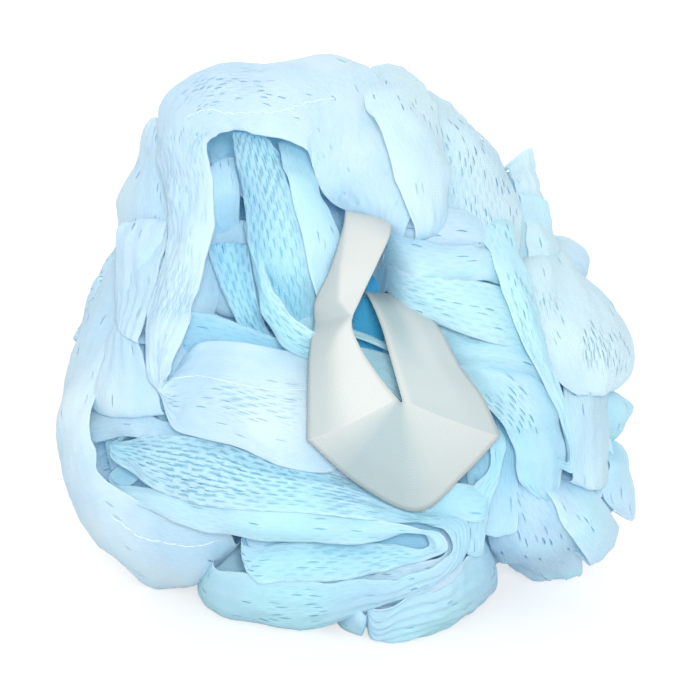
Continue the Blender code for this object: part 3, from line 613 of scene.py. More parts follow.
class ThreadSettings(bpy.types.PropertyGroup):
    thickness: FloatProperty(
        name="Thickness", description="Thickness of the sewing thread",
        default=0.22 * MM, min=0.1 * MM, max=1 * MM, unit="LENGTH")
    stitch: FloatProperty(
        name="Stitch", description="Length of one running stitch",
        default=3.2 * MM, min=1 * MM, max=8 * MM, unit="LENGTH")
    colour: FloatVectorProperty(
        name="Colour", description="Colour of the sewing thread",
        default=(0.80, 0.95, 1.0), min=0.0, max=1.0, size=3, subtype="COLOR")


class StageSettings(bpy.types.PropertyGroup):
    field: FloatProperty(
        name="Field", description="Width that the camera sees at the pouf's middle",
        default=0.1575, min=0.05, max=1.0, unit="LENGTH")
    distance: FloatProperty(
        name="Distance", description="Distance from the camera to the pouf's middle",
        default=1.6, min=0.5, max=5.0, unit="LENGTH")
    world: FloatProperty(
        name="Surroundings", description="Strength of the light from all round",
        default=0.76, min=0.0, max=3.0)
    key: FloatProperty(
        name="Key Light", description="Strength of the broad light before the face",
        default=2.10, min=0.0, max=10.0)
    rim: FloatProperty(
        name="Rim Light", description="Strength of the light from behind",
        default=0.80, min=0.0, max=10.0)


def to_world(points):
    """Points of the face frame, in millimetres, as places over the floor, in metres."""
    turn = np.array(Matrix.Rotation(math.pi / 2 - LEAN, 3, "X"))
    placed = np.asarray(points) * MM @ turn.T + np.array(MIDDLE)
    height = placed[..., 2]
    placed[..., 2] = np.maximum(height, FLOOR_GAP + FLOOR_GIVE * (height - FLOOR_GAP))
    return placed


def stations(noted):
    """The two selvedges' points at each noted station."""
    return [(np.array(row[:3], float), np.array(row[3:], float)) for row in noted]


def unit(vectors):
    """The same directions, each of length 1."""
    length = np.linalg.norm(vectors, axis=-1, keepdims=True)
    return vectors / np.maximum(length, 1e-9)


def square_to(across, away):
    """Which way a strip faces: the part of away that stands square to its width."""
    return unit(away - across * (away * across).sum(axis=1, keepdims=True))


def run_along(middle):
    """How far along its middle line each row of a strip lies."""
    return np.concatenate([[0.0], np.cumsum(np.linalg.norm(np.diff(middle, axis=0), axis=1))])


def back_loops():
    """The hidden loops, a fan of strips over the back."""
    loops = {}
    for k in range(BACK_LOOPS):
        rows = []
        for step in range(BACK_STEPS + 1):
            share = step / BACK_STEPS
            polar = BACK_INNER + (BACK_OUTER - BACK_INNER) * share + BACK_SHIFT * math.sin(2.4 * k)
            theta = math.radians(polar)
            twist = BACK_TWIST * math.sin(1.9 * k + 2.0 * share)
            azimuth = math.radians(360.0 * k / BACK_LOOPS + twist)
            room = 2 * math.pi * BACK_RADIUS * math.sin(theta) / BACK_LOOPS
            width = min(BACK_WIDTH, BACK_OVERLAP * room)
            pair = []
            for edge in (-0.5, 0.5):
                turn = azimuth + edge * width / (BACK_RADIUS * math.sin(theta))
                toward = math.cos(turn - BACK_FULLEST)
                radius = (BACK_RADIUS + BACK_SLACK * toward) * math.sin(theta)
                under = max(0.0, -math.sin(turn)) ** 2
                sag = BACK_SAG * under * math.sin(math.pi * min(1.0, theta / math.radians(90.0)))
                lift = 1.0 + BACK_LAP * edge + BACK_STEP_OUT * math.cos(3.7 * k) + sag
                pair.append(np.array((radius * math.cos(turn), radius * math.sin(turn),
                                      -BACK_DEPTH * math.cos(theta))) * lift)
            rows.append(tuple(pair))
        loops[f"back_{k}"] = rows
    return loops


def all_loops():
    """Stations of every loop, by its name."""
    noted_loops = {**LOOPS, **NEST}
    for name, start in DEEPER_STARTS.items():
        noted_loops[name] = [start, *noted_loops[name]]
    loops = {name: stations(noted) for name, noted in noted_loops.items()}
    loops.update(back_loops())
    return loops


def with_legs(rows, tucked=""):
    """Adds the gathered legs by which a loop runs in to the tie. A tucked end only turns in."""
    def leg(row, short):
        middle, half = (row[0] + row[1]) / 2, (row[1] - row[0]) / 2
        front = middle[2] > LOBE_SPLIT
        lobe = HEART + np.array((0.0, 0.0, LOBE_OFFSET if front else -LOBE_OFFSET))
        neck = lobe + unit(middle - lobe) * LOBE_RADIUS * NECK_REACH
        made = []
        for share in ((TUCK,) if short else (0.5, 1.0)):
            width = np.linalg.norm(half) * (1 - share) ** LEG_TAPER + NECK_WIDTH / 2 * share
            centre = middle + (neck - middle) * share
            made.append((centre - unit(half) * width, centre + unit(half) * width))
        return made
    return leg(rows[0], tucked == "first")[::-1] + rows + leg(rows[-1], tucked == "last")


def between(p0, p1, p2, p3, t):
    """Centripetal Catmull-Rom curve from p1 to p2."""
    k1, k2, k3 = (max(np.linalg.norm(b - a), 1e-3) ** 0.5
                  for a, b in ((p0, p1), (p1, p2), (p2, p3)))
    m1 = (p2 - p1) + k2 * ((p1 - p0) / k1 - (p2 - p0) / (k1 + k2))
    m2 = (p2 - p1) + k2 * ((p3 - p2) / k3 - (p3 - p1) / (k2 + k3))
    t = t[:, None]
    t2, t3 = t * t, t * t * t
    return ((2 * t3 - 3 * t2 + 1) * p1 + (t3 - 2 * t2 + t) * m1
            + (3 * t2 - 2 * t3) * p2 + (t3 - t2) * m2)


def smoothed(rows, pitch):
    """Both selvedges of a strip at an even pitch, and the station number of each row."""
    ends = [rows[0]] + list(rows) + [rows[-1]]
    first, second, number = [], [], []
    for i in range(len(rows) - 1):
        (a0, b0), (a1, b1), (a2, b2), (a3, b3) = ends[i:i + 4]
        gap = max(np.linalg.norm(a2 - a1), np.linalg.norm(b2 - b1))
        parts = max(1, math.ceil(gap / pitch))
        t = np.arange(parts) / parts
        first.append(between(a0, a1, a2, a3, t))
        second.append(between(b0, b1, b2, b3, t))
        number.append(i + t)
    first.append(rows[-1][0][None])
    second.append(rows[-1][1][None])
    number.append(np.array([len(rows) - 1.0]))
    return np.concatenate(first), np.concatenate(second), np.concatenate(number)


class Strip:
    """One loop of netting: a smooth strip that can be read at any row and place across it."""

    def __init__(self, name, rows, settings, crown=CROWN, seed=0, facing=None):
        self.name = name
        self.settings = settings
        self.crown = crown
        self.on_back = name.startswith("back")
        self.a, self.b, self.number = smoothed(rows, settings.row_pitch / MM)
        self.width = np.linalg.norm(self.b - self.a, axis=1)
        self.full = self.width.max()
        self.wales = max(4, round(self.full / (settings.wale_pitch / MM)))
        self.across = unit(self.b - self.a)
        middle = (self.a + self.b) / 2
        self.run = run_along(middle)
        away = middle - HEART if facing is None else np.tile(facing, (len(middle), 1))
        self.away = square_to(self.across, away)
        self.random = np.random.default_rng(seed)
        self.waves = [(self.random.uniform(*WAVE_LENGTHS), self.random.uniform(0, 2 * math.pi),
                       self.random.uniform(0, 2 * math.pi)) for _ in range(WAVES)]

    def soft(self, run, over, scale=1.0):
        """Soft unevenness between about -1 and 1."""
        total = 0.0
        for length, turn, phase in self.waves:
            k = 2 * math.pi / (length * scale)
            total = total + np.sin(k * (run * math.cos(turn) + over * math.sin(turn)) + phase)
        return total / len(self.waves) ** 0.5 / 1.2

    def at(self, i, v):
        """Points at rows i and places v across the strip, 0 to 1 from selvedge to selvedge."""
        settings = self.settings
        run, over = self.run[i], v * self.full
        gathered = np.clip(GATHER_FULL - self.width[i] / self.full, GATHER_LEAST, GATHER_MOST)
        pleat = settings.pleat_depth / MM * PLEATED.get(self.name, 1.0) * gathered * np.sin(
            2 * math.pi * over / PLEAT_LENGTH
            + PLEAT_WANDER * self.soft(run, over * 0.2, 2.0) + run / PLEAT_DRIFT)
        ripple = settings.ripple / MM * self.soft(run, over)
        ripple = ripple + settings.crinkle / MM * self.soft(run * 1.1, over, CRINKLE_SCALE)
        rim = np.abs(2 * v - 1) ** FLUTTER_EDGE
        loose = BACK_FLUTTER if self.on_back else 1.0
        flutter = settings.flutter / MM * loose * rim * np.sin(
            run / FLUTTER_LENGTH + FLUTTER_WANDER * self.soft(run, over * 0.1, 1.3)
            + 3 * np.round(v))
        out = self.crown * 4 * v * (1 - v) * self.width[i] + pleat + ripple + flutter
        return self.a[i] + (self.b[i] - self.a[i]) * v[:, None] + self.away[i] * out[:, None]

    def share_open(self, points):
        """What share of the net's cells is open at each of these points."""
        usual = BACK_SHARE if self.on_back else OPEN_SHARE.get(self.name, REST_SHARE)
        share = np.full(len(points), usual)
        for name, x0, y0, x1, y1, value in PATCHES:
            if name == self.name:
                x, y = points[:, 0], points[:, 1]
                inside = np.minimum.reduce([x - x0, x1 - x, y - y0, y1 - y])
                share += (value - share) * np.clip(inside / PATCH_EDGE + 0.5, 0.0, 1.0)
        return share


def all_strips(settings):
    """Every loop of netting with its legs, by its name."""
    return {name: Strip(name, with_legs(rows, TUCKED.get(name, "")), settings,
                        seed=sum(ord(c) * (n + 1) for n, c in enumerate(name)))
            for name, rows in all_loops().items()}


class Cloth:
    """Points, their places on the flat net, and faces, as they are added."""

    def __init__(self):
        self.points, self.flat, self.faces, self.count = [], [], [], 0

    def add(self, points, along, across):
        """Adds points with their places on the flat net, and gives the number of the first."""
        self.points.append(points)
        self.flat.append(np.stack([along, across], axis=1))
        self.count += len(points)
        return self.count - len(points)


def quads(lines, length, first=0):
    """Faces between neighbouring lines of points that are numbered on from the first."""
    return [[corner, corner + length, corner + length + 1, corner + 1]
            for line in range(lines - 1)
            for corner in range(first + line * length, first + (line + 1) * length - 1)]


def cell_starts(strip, wale):
    """Rows at which the cells beside a wale start, staggered from wale to wale."""
    return range(1 + wale % 2 * CELL_ROWS // 2, len(strip.a) - CELL_ROWS - 1, CELL_ROWS)


def open_cells(strip):
    """Start row and wale of each open cell, and how wide it is, in wales."""
    wales = strip.wales
    cells = np.array([(i, j) for j in range(wales) for i in cell_starts(strip, j)])
    i, j = cells.T
    share = strip.share_open(strip.at(i + 1, (j + 0.5) / wales))
    patchy = 0.5 + 0.5 * strip.soft(strip.run[i] * PATCHY_SCALE,
                                    (j + 0.5) / wales * strip.full * PATCHY_SCALE)
    uneven = (share > PATCHY_FROM) * (share < PATCHY_TO)
    chance = share + uneven * PATCHY_STRENGTH * (patchy - 0.5) * np.sqrt(share)
    opened = strip.random.random(len(cells)) < chance
    opened &= (j > 0) & (j < wales - 1)
    wide = strip.settings.slit_width * (SLIT_LEAST + SLIT_SPREAD * strip.random.random(len(cells)))
    return i[opened], j[opened], wide[opened]


def add_net(strip, cloth):
    """Adds the near half of the flattened tube, with an opening in each open cell."""
    rows, wales = len(strip.a), strip.wales
    oi, oj, wide = open_cells(strip)
    pull = np.zeros((rows, wales + 1))
    for i, j, push in zip(oi, oj, PUSH_SHARE * wide):
        pull[i + 1:i + 3, j] -= push
        pull[i + 1:i + 3, j + 1] += push
    pull[:, 0] = pull[:, -1] = 0.0

    def lay(i, v):
        return cloth.add(strip.at(i, v), strip.run[i], v * strip.full)

    grid_i, grid_j = np.meshgrid(np.arange(rows), np.arange(wales + 1), indexing="ij")
    lay(grid_i.ravel(), ((grid_j + pull) / wales).ravel())

    # The sides of each opening: its two ends, then two points on either side
    middle, half = oj + 0.5, wide / 2
    left, right = middle - half, middle + half
    first = lay(np.stack([oi, oi + 3, oi + 1, oi + 2, oi + 1, oi + 2], axis=1).ravel(),
                np.stack([middle, middle, left, left, right, right], axis=1).ravel() / wales)
    opening = {(int(i), int(j)): first + 6 * n for n, (i, j) in enumerate(zip(oi, oj))}

    def at(i, j):
        return i * (wales + 1) + j

    for j in range(wales):
        i = 0
        while i < rows - 1:
            key = opening.get((i, j))
            if key is not None:
                e1, e2, l1, l2, r1, r2 = range(key, key + 6)
                cloth.faces += [
                    [at(i, j), at(i + 1, j), l1, e1], [at(i + 1, j), at(i + 2, j), l2, l1],
                    [at(i + 2, j), at(i + 3, j), e2, l2],
                    [e1, r1, at(i + 1, j + 1), at(i, j + 1)],
                    [r1, r2, at(i + 2, j + 1), at(i + 1, j + 1)],
                    [r2, e2, at(i + 3, j + 1), at(i + 2, j + 1)]]
                i += 3
                continue
            # A closed piece between two rows also meets the tips of the openings before and after
            ahead, behind = opening.get((i + 1, j)), opening.get((i - 3, j))
            ring = [at(i, j), at(i + 1, j)] + ([] if ahead is None else [ahead])
            ring += [at(i + 1, j + 1), at(i, j + 1)] + ([] if behind is None else [behind + 1])
            cloth.faces.append(ring)
            i += 1


def add_lining(strip, cloth):
    """Adds the far half of the flattened tube, which is seen through the openings."""
    rows = len(strip.a)
    some = np.arange(0, rows, LINING_STEP)
    if some[-1] != rows - 1:
        some = np.append(some, rows - 1)
    across = np.linspace(LINING_INSET, 1.0 - LINING_INSET, max(3, strip.wales // LINING_STEP + 1))
    i, v = (grid.ravel() for grid in np.meshgrid(some, across, indexing="ij"))
    room = strip.settings.lining_gap / MM * (4 * v * (1 - v)) ** LINING_ROUND
    first = cloth.add(strip.at(i, v) - strip.away[i] * room[:, None], strip.run[i],
                      v * strip.full + LINING_SHIFT)
    cloth.faces += quads(len(some), len(across), first)


def add_hems(strip, cloth):
    """Adds the curled rim of both selvedges."""
    rows, wales = len(strip.a), strip.wales
    hem = strip.settings.hem / MM
    for j, side in ((0, -1.0), (wales, 1.0)):
        edge = strip.at(np.arange(rows), np.full(rows, j / wales))
        lines = [[i * (wales + 1) + j for i in range(rows)]]
        for n, (outward, down) in enumerate(HEM_ROLL):
            line = edge + strip.across * side * outward * hem - strip.away * down * hem
            first = cloth.add(line, strip.run,
                              np.full(rows, j / wales * strip.full + side * (n + 1) * hem))
            lines.append(range(first, first + rows))
        for i in range(rows - 1):
            for last, new in zip(lines, lines[1:]):
                ring = [last[i], new[i], new[i + 1], last[i + 1]]
                cloth.faces.append(ring if side < 0 else ring[::-1])


def net_mesh(strip):
    """Points, faces and flat places of one strip.

    A cell is four rows long and lies between two wales. Cells of neighbouring wales are
    staggered by half a cell, and an open one pushes its wales apart."""
    cloth = Cloth()
    add_net(strip, cloth)
    add_lining(strip, cloth)
    add_hems(strip, cloth)
    return np.concatenate(cloth.points), cloth.faces, np.concatenate(cloth.flat)


class Shell:
    """The pouf's outer shell, as its reach from the heart in directions all round."""

    def __init__(self, strips):
        turn = math.pi * (3.0 - math.sqrt(5.0))
        k = np.arange(SHELL_DIRECTIONS)
        z = 1.0 - 2.0 * (k + 0.5) / SHELL_DIRECTIONS
        ring = np.sqrt(1.0 - z * z)
        self.ways = np.stack([ring * np.cos(turn * k), ring * np.sin(turn * k), z], axis=1)
        points = []
        for strip in strips:
            i = np.arange(0, len(strip.a), SHELL_ROWS)
            points += [strip.at(i, np.full(len(i), v)) for v in SHELL_PLACES]
        points = np.concatenate(points) - HEART
        reach = np.linalg.norm(points, axis=1)
        near = self.ways @ unit(points).T > SHELL_SPREAD
        self.reach = np.array([reach[row].max() if row.any() else reach.mean() for row in near])

    def depth(self, points):
        """How far the points lie under the shell, from 0 to 1."""
        away = points - HEART
        reach = np.linalg.norm(away, axis=1)
        weight = np.exp(SHELL_FOCUS * (unit(away) @ self.ways.T - 1.0))
        over = (weight @ self.reach) / weight.sum(axis=1)
        return np.clip((over - reach - PALE_DEPTH) / (DEEP_DEPTH - PALE_DEPTH), 0.0, 1.0)


def mark(obj, name, values):
    """Keeps a value at each point for the material to read."""
    layer = obj.data.attributes.new(name, "FLOAT", "POINT")
    layer.data.foreach_set("value", np.asarray(values, np.float32))


def mesh_object(name, points, faces, flat, material):
    """A smooth mesh with its places on the flat net or ribbon as its map."""
    mesh = bpy.data.meshes.new(name)
    mesh.from_pydata(to_world(points).tolist(), [], faces)
    layer = mesh.uv_layers.new(name="UVMap")
    corner = np.empty(len(mesh.loops), np.int32)
    mesh.loops.foreach_get("vertex_index", corner)
    layer.data.foreach_set("uv", (flat[corner] / MAP_UNIT).ravel().astype(np.float32))
    mesh.polygons.foreach_set("use_smooth", np.ones(len(mesh.polygons), bool))
    mesh.materials.append(material)
    mesh.update()
    obj = bpy.data.objects.new(name, mesh)
    bpy.context.scene.collection.objects.link(obj)
    return obj


def netting_piece(name, dye, strips, settings, marks):
    """Knits strips into one piece. Marks gives what the material reads at a strip's points."""
    points, flat, faces, count = [], [], [], 0
    noted = []
    for strip in strips:
        p, f, uv = net_mesh(strip)
        noted.append(marks(strip, p, uv))
        faces += [[count + k for k in ring] for ring in f]
        count += len(p)
        points.append(p)
        flat.append(uv)
    material = netting_material(dye, settings.translucency, settings.wale_pitch)
    obj = mesh_object(name, np.concatenate(points), faces, np.concatenate(flat), material)
    for key in noted[0]:
        mark(obj, key, np.concatenate([values[key] for values in noted]))
    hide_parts("netting")
    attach(obj, "root")


def new_material(name):
    """A material with its nodes and its shader."""
    made = bpy.data.materials.new(name)
    made.use_nodes = True
    return made, made.node_tree, made.node_tree.nodes["Principled BSDF"]


def feed(tree, made, inputs):
    """Sets a node's inputs, each to a number or colour, or to the socket that feeds it."""
    for key, value in inputs.items():
        if isinstance(value, bpy.types.NodeSocket):
            tree.links.new(value, made.inputs[key])
        else:
            made.inputs[key].default_value = value


def node(tree, kind, place, inputs=None, **settings):
    """A new node, set before it is fed, since its settings say which inputs it has."""
    made = tree.nodes.new(kind)
    made.location = place
    for key, value in settings.items():
        setattr(made, key, value)
    feed(tree, made, inputs or {})
    return made


def maths(tree, operation, place, *inputs, **settings):
    """The result of one sum."""
    return node(tree, "ShaderNodeMath", place, dict(enumerate(inputs)), operation=operation,
                **settings).outputs["Value"]


def blend(tree, place, share, first, second, blend_type="MIX"):
    """A colour between two others."""
    return node(tree, "ShaderNodeMix", place, {"Factor": share, "A": first, "B": second},
                data_type="RGBA", blend_type=blend_type).outputs["Result"]


def spread(tree, place, value, **limits):
    """A value mapped from one range to another."""
    inputs = {key.replace("_", " ").title(): limit for key, limit in limits.items()}
    return node(tree, "ShaderNodeMapRange", place, {"Value": value, **inputs}).outputs["Result"]


def attribute(tree, place, name):
    """The value that the mesh's points are marked with under this name."""
    return node(tree, "ShaderNodeAttribute", place, attribute_name=name).outputs["Fac"]


def threads(tree, place, where, direction, scale, **inputs):
    """Straight threads, one beside the other."""
    inputs = {key.replace("_", " ").title(): value for key, value in inputs.items()}
    return node(tree, "ShaderNodeTexWave", place,
                {"Vector": where, "Scale": scale, **inputs},
                wave_type="BANDS", bands_direction=direction).outputs["Fac"]


def netting_material(dye, translucency, pitch):
    """Sheer nylon: fine wales and courses, drifting between two tints of its dye. Painted shade
    darkens it deep between the loops and in the gaps between its threads, and a painted highlight
    lies along its selvedges.
    """
    name = "netting_" + dye
    if name in bpy.data.materials:
        return bpy.data.materials[name]
    near, far, deep, gaps = DYE_AND_SHADE_TINTS[dye]
    pitch = pitch / MM / MAP_UNIT
    made, tree, shader = new_material(name)
    place = node(tree, "ShaderNodeTexCoord", (-1400, 0)).outputs
    drift = node(tree, "ShaderNodeTexNoise", (-1150, 250),
                 {"Vector": place["Object"], "Scale": 38.0, "Detail": 2.0})
    share = spread(tree, (-1000, 420), drift.outputs["Fac"], from_min=0.38, from_max=0.62)
    tint = blend(tree, (-850, 250), share, (*near, 1.0), (*far, 1.0))
    wales = threads(tree, (-1150, -50), place["UV"], "Y", WAVE_PERIOD / (pitch / 2),
                    distortion=2.6, detail=2.0, detail_scale=1.5)
    courses = threads(tree, (-1150, -350), place["UV"], "X", WAVE_PERIOD / COURSE_PITCH,
                      distortion=1.5)
    knit = maths(tree, "MULTIPLY_ADD", (-900, -150), courses, COURSE_RELIEF, wales)

    # Narrow gaps between the threads, staggered from row to row, wide where the net lies open,
    # painted in shade and lowered in the relief. They are drawn short and then stretched, so that
    # each runs out softly at both ends.
    bend = node(tree, "ShaderNodeTexNoise", (-1600, -700), {"Vector": place["UV"], "Scale": 3.2})
    bent = node(tree, "ShaderNodeVectorMath", (-1400, -700),
                {0: bend.outputs["Color"], 1: GAP_BEND, 2: place["UV"]}, operation="MULTIPLY_ADD")
    short = node(tree, "ShaderNodeVectorMath", (-1280, -850),
                 {0: bent.outputs["Vector"], 1: (GAP_STRETCH, 1.0, 1.0)}, operation="MULTIPLY")
    mesh = node(tree, "ShaderNodeTexBrick", (-1150, -750),
                {"Vector": short.outputs["Vector"], "Scale": 1.0,
                 "Brick Width": GAP_LENGTH * GAP_STRETCH, "Row Height": pitch,
                 "Mortar Size": GAP_SIDES * pitch, "Mortar Smooth": 1.0},
                offset=0.5, offset_frequency=2)
    gap = maths(tree, "SUBTRACT", (-900, -750), 1.0, mesh.outputs["Fac"])
    slit = maths(tree, "POWER", (-800, -850), gap, GAP_NARROWING)
    loose = node(tree, "ShaderNodeTexNoise", (-1150, -600),
                 {"Vector": place["Object"], "Scale": 70.0, "Detail": 2.0})
    slack = spread(tree, (-900, -600), loose.outputs["Fac"], from_min=0.40, from_max=0.60,
                   to_min=TIGHT_SHARE * gaps, to_max=gaps)
    width = spread(tree, (-900, -380), attribute(tree, (-1150, -450), "open_share"),
                   to_min=GAP_LEAST, to_max=GAP_MOST)
    dark = maths(tree, "MULTIPLY", (-700, -600), slit, slack)
    shade = maths(tree, "MULTIPLY", (-520, -500), dark, width)
    relief = maths(tree, "MULTIPLY_ADD", (-700, -250), shade, -GAP_RELIEF, knit)
    bump = node(tree, "ShaderNodeBump", (-500, -250),
                {"Strength": 0.22, "Distance": 0.18 * MM, "Height": relief}).outputs["Normal"]

    # Painted shade: the dye turns to its deep tint where the net lies deep under the outer shell
    sunk = attribute(tree, (-1000, 650), "sunk")
    depth_shaded = blend(tree, (-680, 350), sunk, tint, (*deep, 1.0))
    # Painted highlight: paler along the selvedges, where the curled edge catches the light
    edge = attribute(tree, (-1000, 850), "selvedge")
    rim = blend(tree, (-510, 350), edge, depth_shaded, (*SELVEDGE_HIGHLIGHT, 1.0))
    # Painted shade: the gaps between the threads turn to the dark gap tint
    dye_and_painted_light = blend(tree, (-350, 150), shade, rim, (*GAP_SHADE_TINT, 1.0))
    feed(tree, shader, {"Base Color": dye_and_painted_light, "Normal": bump, "Roughness": 0.55,
                        "Specular IOR Level": 0.25, "Sheen Weight": 0.35,
                        "Sheen Roughness": 0.45, "Sheen Tint": (0.85, 0.96, 1.0, 1.0)})
    glow = node(tree, "ShaderNodeBsdfTranslucent", (0, -250), {"Color": dye_and_painted_light, "Normal": bump})
    both = node(tree, "ShaderNodeMixShader", (300, 0),
                {"Fac": translucency, 1: shader.outputs["BSDF"], 2: glow.outputs["BSDF"]})
    feed(tree, tree.nodes["Material Output"], {"Surface": both.outputs["Shader"]})
    return made


def satin_material(settings):
    """Satin with fine ribs along the ribbon and a faint cross weave, painted darker in their
    grooves, and its duller back colour laid on where it is marked, there partly as painted shade.
    """
    made, tree, shader = new_material("ribbon_satin")
    place = node(tree, "ShaderNodeTexCoord", (-1300, 0)).outputs
    ribs = threads(tree, (-1050, 100), place["UV"], "Y",
                   WAVE_PERIOD / (settings.rib_pitch / MM / MAP_UNIT), distortion=0.4)
    weft = threads(tree, (-1050, -200), place["UV"], "X", WAVE_PERIOD / WEFT_PITCH)
    weave = maths(tree, "MULTIPLY_ADD", (-800, -50), weft, WEFT_RELIEF, ribs)
    bump = node(tree, "ShaderNodeBump", (-400, -200),
                {"Strength": 0.22, "Distance": 0.1 * MM, "Height": weave})
    # Painted shade: the satin is a little darker down in the grooves of its ribs and weft
    groove_shading = spread(tree, (-600, 150), weave, from_max=1.0 + WEFT_RELIEF, to_min=0.94, to_max=1.0)
    cloud = node(tree, "ShaderNodeTexNoise", (-1050, 400),
                 {"Vector": place["Object"], "Scale": 60.0})
    # How much of the duller back colour and painted shade is laid on, with a little random mottling
    side = attribute(tree, (-1050, 650), "duller_side")
    uneven = maths(tree, "MULTIPLY_ADD", (-850, 500), cloud.outputs["Fac"], 0.16, side,
                   use_clamp=True)
    satin_tone_and_shade = blend(tree, (-600, 400), uneven, (*settings.colour, 1.0), (*settings.back_colour, 1.0))
    woven_and_shaded = blend(tree, (-350, 250), 1.0, satin_tone_and_shade, groove_shading, "MULTIPLY")
    feed(tree, shader, {"Base Color": woven_and_shaded, "Normal": bump.outputs["Normal"], "Roughness": 0.48,
                        "Specular IOR Level": 0.30, "Sheen Weight": 0.12})
    return made


def thread_material(name, colour, twist):
    """Spun thread with its twist as fine slanting ridges, painted darker in the grooves between
    them.
    """
    made, tree, shader = new_material(name)
    place = node(tree, "ShaderNodeTexCoord", (-900, 0)).outputs
    wave = threads(tree, (-650, 0), place["Object"], "DIAGONAL", twist, distortion=0.6)
    # Painted shade: the thread is darker down in the grooves of its twist
    groove_shading = blend(tree, (-400, 100), wave, (*[c * 0.86 for c in colour], 1.0), (*colour, 1.0))
    bump = node(tree, "ShaderNodeBump", (-400, -200),
                {"Strength": 0.3, "Distance": 0.1 * MM, "Height": wave})
    feed(tree, shader, {"Base Color": groove_shading, "Normal": bump.outputs["Normal"], "Roughness": 0.7})
    return made


class POUF_OT_netting(bpy.types.Operator):
    """Knits the gathered loops, piece by piece"""

    bl_idname = "bath_pouf.netting"
    bl_label = "Add Netting"

    def execute(self, context):
        settings = context.scene.bath_pouf_netting
        strips = all_strips(settings)
        shell = Shell(strips.values())

        def marks(strip, points, flat):
            inside = np.minimum(flat[:, 1], strip.full - flat[:, 1])
            shade_scale = NEST_PAINTED_SHADE.get(strip.name, NEST_REST_PAINTED_SHADE) if strip.name in NEST else 1.0
            # Painted shade where the points lie deep under the outer shell, scaled for the inner
            # bands
            return {"sunk": np.clip(shell.depth(points) * shade_scale, 0.0, 1.0),
                    # painted highlight along the selvedges
                    "selvedge": SELVEDGE_HIGHLIGHT_SHARE * np.clip(1.0 - inside / SELVEDGE_HIGHLIGHT_WIDTH, 0.0, 1.0),
                    "open_share": strip.share_open(points)}

        for piece, (dye, names) in PIECES.items():
            netting_piece(piece, dye, [strips[name] for name in names], settings, marks)
        return {"FINISHED"}


def outline_reach():
    """How far the loops reach from the heart, at each station of the inner layers."""
    edges = np.concatenate([smoothed(rows, CORE_PITCH)[k] for name, rows in all_loops().items()
                            for k in (0, 1) if name in LOOPS]) - HEART
    turn, reach = np.arctan2(edges[:, 1], edges[:, 0]), np.hypot(edges[:, 0], edges[:, 1])
    around = []
    for n in range(CORE_STATIONS):
        off = (turn - 2 * math.pi * n / CORE_STATIONS + math.pi) % (2 * math.pi) - math.pi
        around.append(reach[np.abs(off) < CORE_LOOK].max())
    return np.minimum.reduce([np.roll(around, k) for k in (-1, 0, 1)])


def core_rows(depth, most, inset, reach):
    """Stations of an inner layer: a gathered ring from the heart out to inside the outline."""
    rows = []
    for n in range(CORE_STATIONS + 1):
        angle = 2 * math.pi * n / CORE_STATIONS
        ray = np.array((math.cos(angle), math.sin(angle), 0.0))
        out = min(most, reach[n % CORE_STATIONS] - inset)
        out += CORE_WAVE * math.sin(5 * angle + depth)
        gather = CORE_FOLD * math.sin(CORE_GATHERS * angle + 1.2 * math.sin(3 * angle + depth))
        rows.append((HEART + ray * CORE_INNER + (0, 0, depth * 0.9),
                     HEART + ray * out + (0, 0, depth + gather)))
    return rows


class POUF_OT_core(bpy.types.Operator):
    """Gathers the inner layers of net round the heart"""

    bl_idname = "bath_pouf.core"
    bl_label = "Add Inner Layers"

    def execute(self, context):
        settings = context.scene.bath_pouf_netting
        reach = outline_reach()
        shell = Shell(all_strips(settings).values())
        layers = [Strip("core", core_rows(*layer, reach), settings, crown=0.0, seed=seed,
                        facing=np.array((0.0, 0.0, 1.0))) for seed, layer in enumerate(CORES)]
        # The inner layers take painted shade where they lie deep under the outer shell
        netting_piece("netting_core", "blue", layers, settings,
                      lambda strip, points, flat: {"sunk": CORE_PAINTED_SHADE * shell.depth(points)})
        return {"FINISHED"}


class POUF_OT_heart(bpy.types.Operator):
    """Packs the gathered heart of the net round the tie"""

    bl_idname = "bath_pouf.heart"
    bl_label = "Add Heart"

    def execute(self, context):
        turns, levels = HEART_TURNS, HEART_LEVELS
        points, flat, faces = [], [], []
        for k in range(levels + 1):
            z = (2 * k / levels - 1) * (LOBE_OFFSET + LOBE_RADIUS)
            off = (abs(z) - LOBE_OFFSET) / LOBE_RADIUS
            radius = LOBE_RADIUS * math.sqrt(max(0.0, 1 - min(1.0, abs(off)) ** 2))
            if abs(z) < LOBE_OFFSET:
                radius = max(radius, WAIST_RADIUS + WAIST_ROOM)
            under_tie = abs(z) < TIE_HALF
            for n in range(turns):
                angle = 2 * math.pi * n / turns
                pleats = 1 + 0.07 * math.sin(17 * angle + 0.09 * z)
                pleats += 0.04 * math.sin(29 * angle - 0.13 * z)
                r = WAIST_RADIUS * WAIST_SQUEEZE if under_tie else radius * pleats
                points.append(HEART + np.array((r * math.cos(angle), r * math.sin(angle), z)))
                flat.append((angle * LOBE_RADIUS, z))
        for k in range(levels):
            for n in range(turns):
                here, beside = k * turns + n, k * turns + (n + 1) % turns
                faces.append([here, beside, beside + turns, here + turns])
        settings = context.scene.bath_pouf_netting
        material = netting_material("deep", settings.translucency, settings.wale_pitch)
        obj = mesh_object("netting_heart", np.array(points), faces, np.array(flat), material)
        # Painted shade: the whole heart takes its deep tint
        mark(obj, "sunk", np.ones(len(points)))
        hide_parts("netting")
        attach(obj, "root")
        return {"FINISHED"}


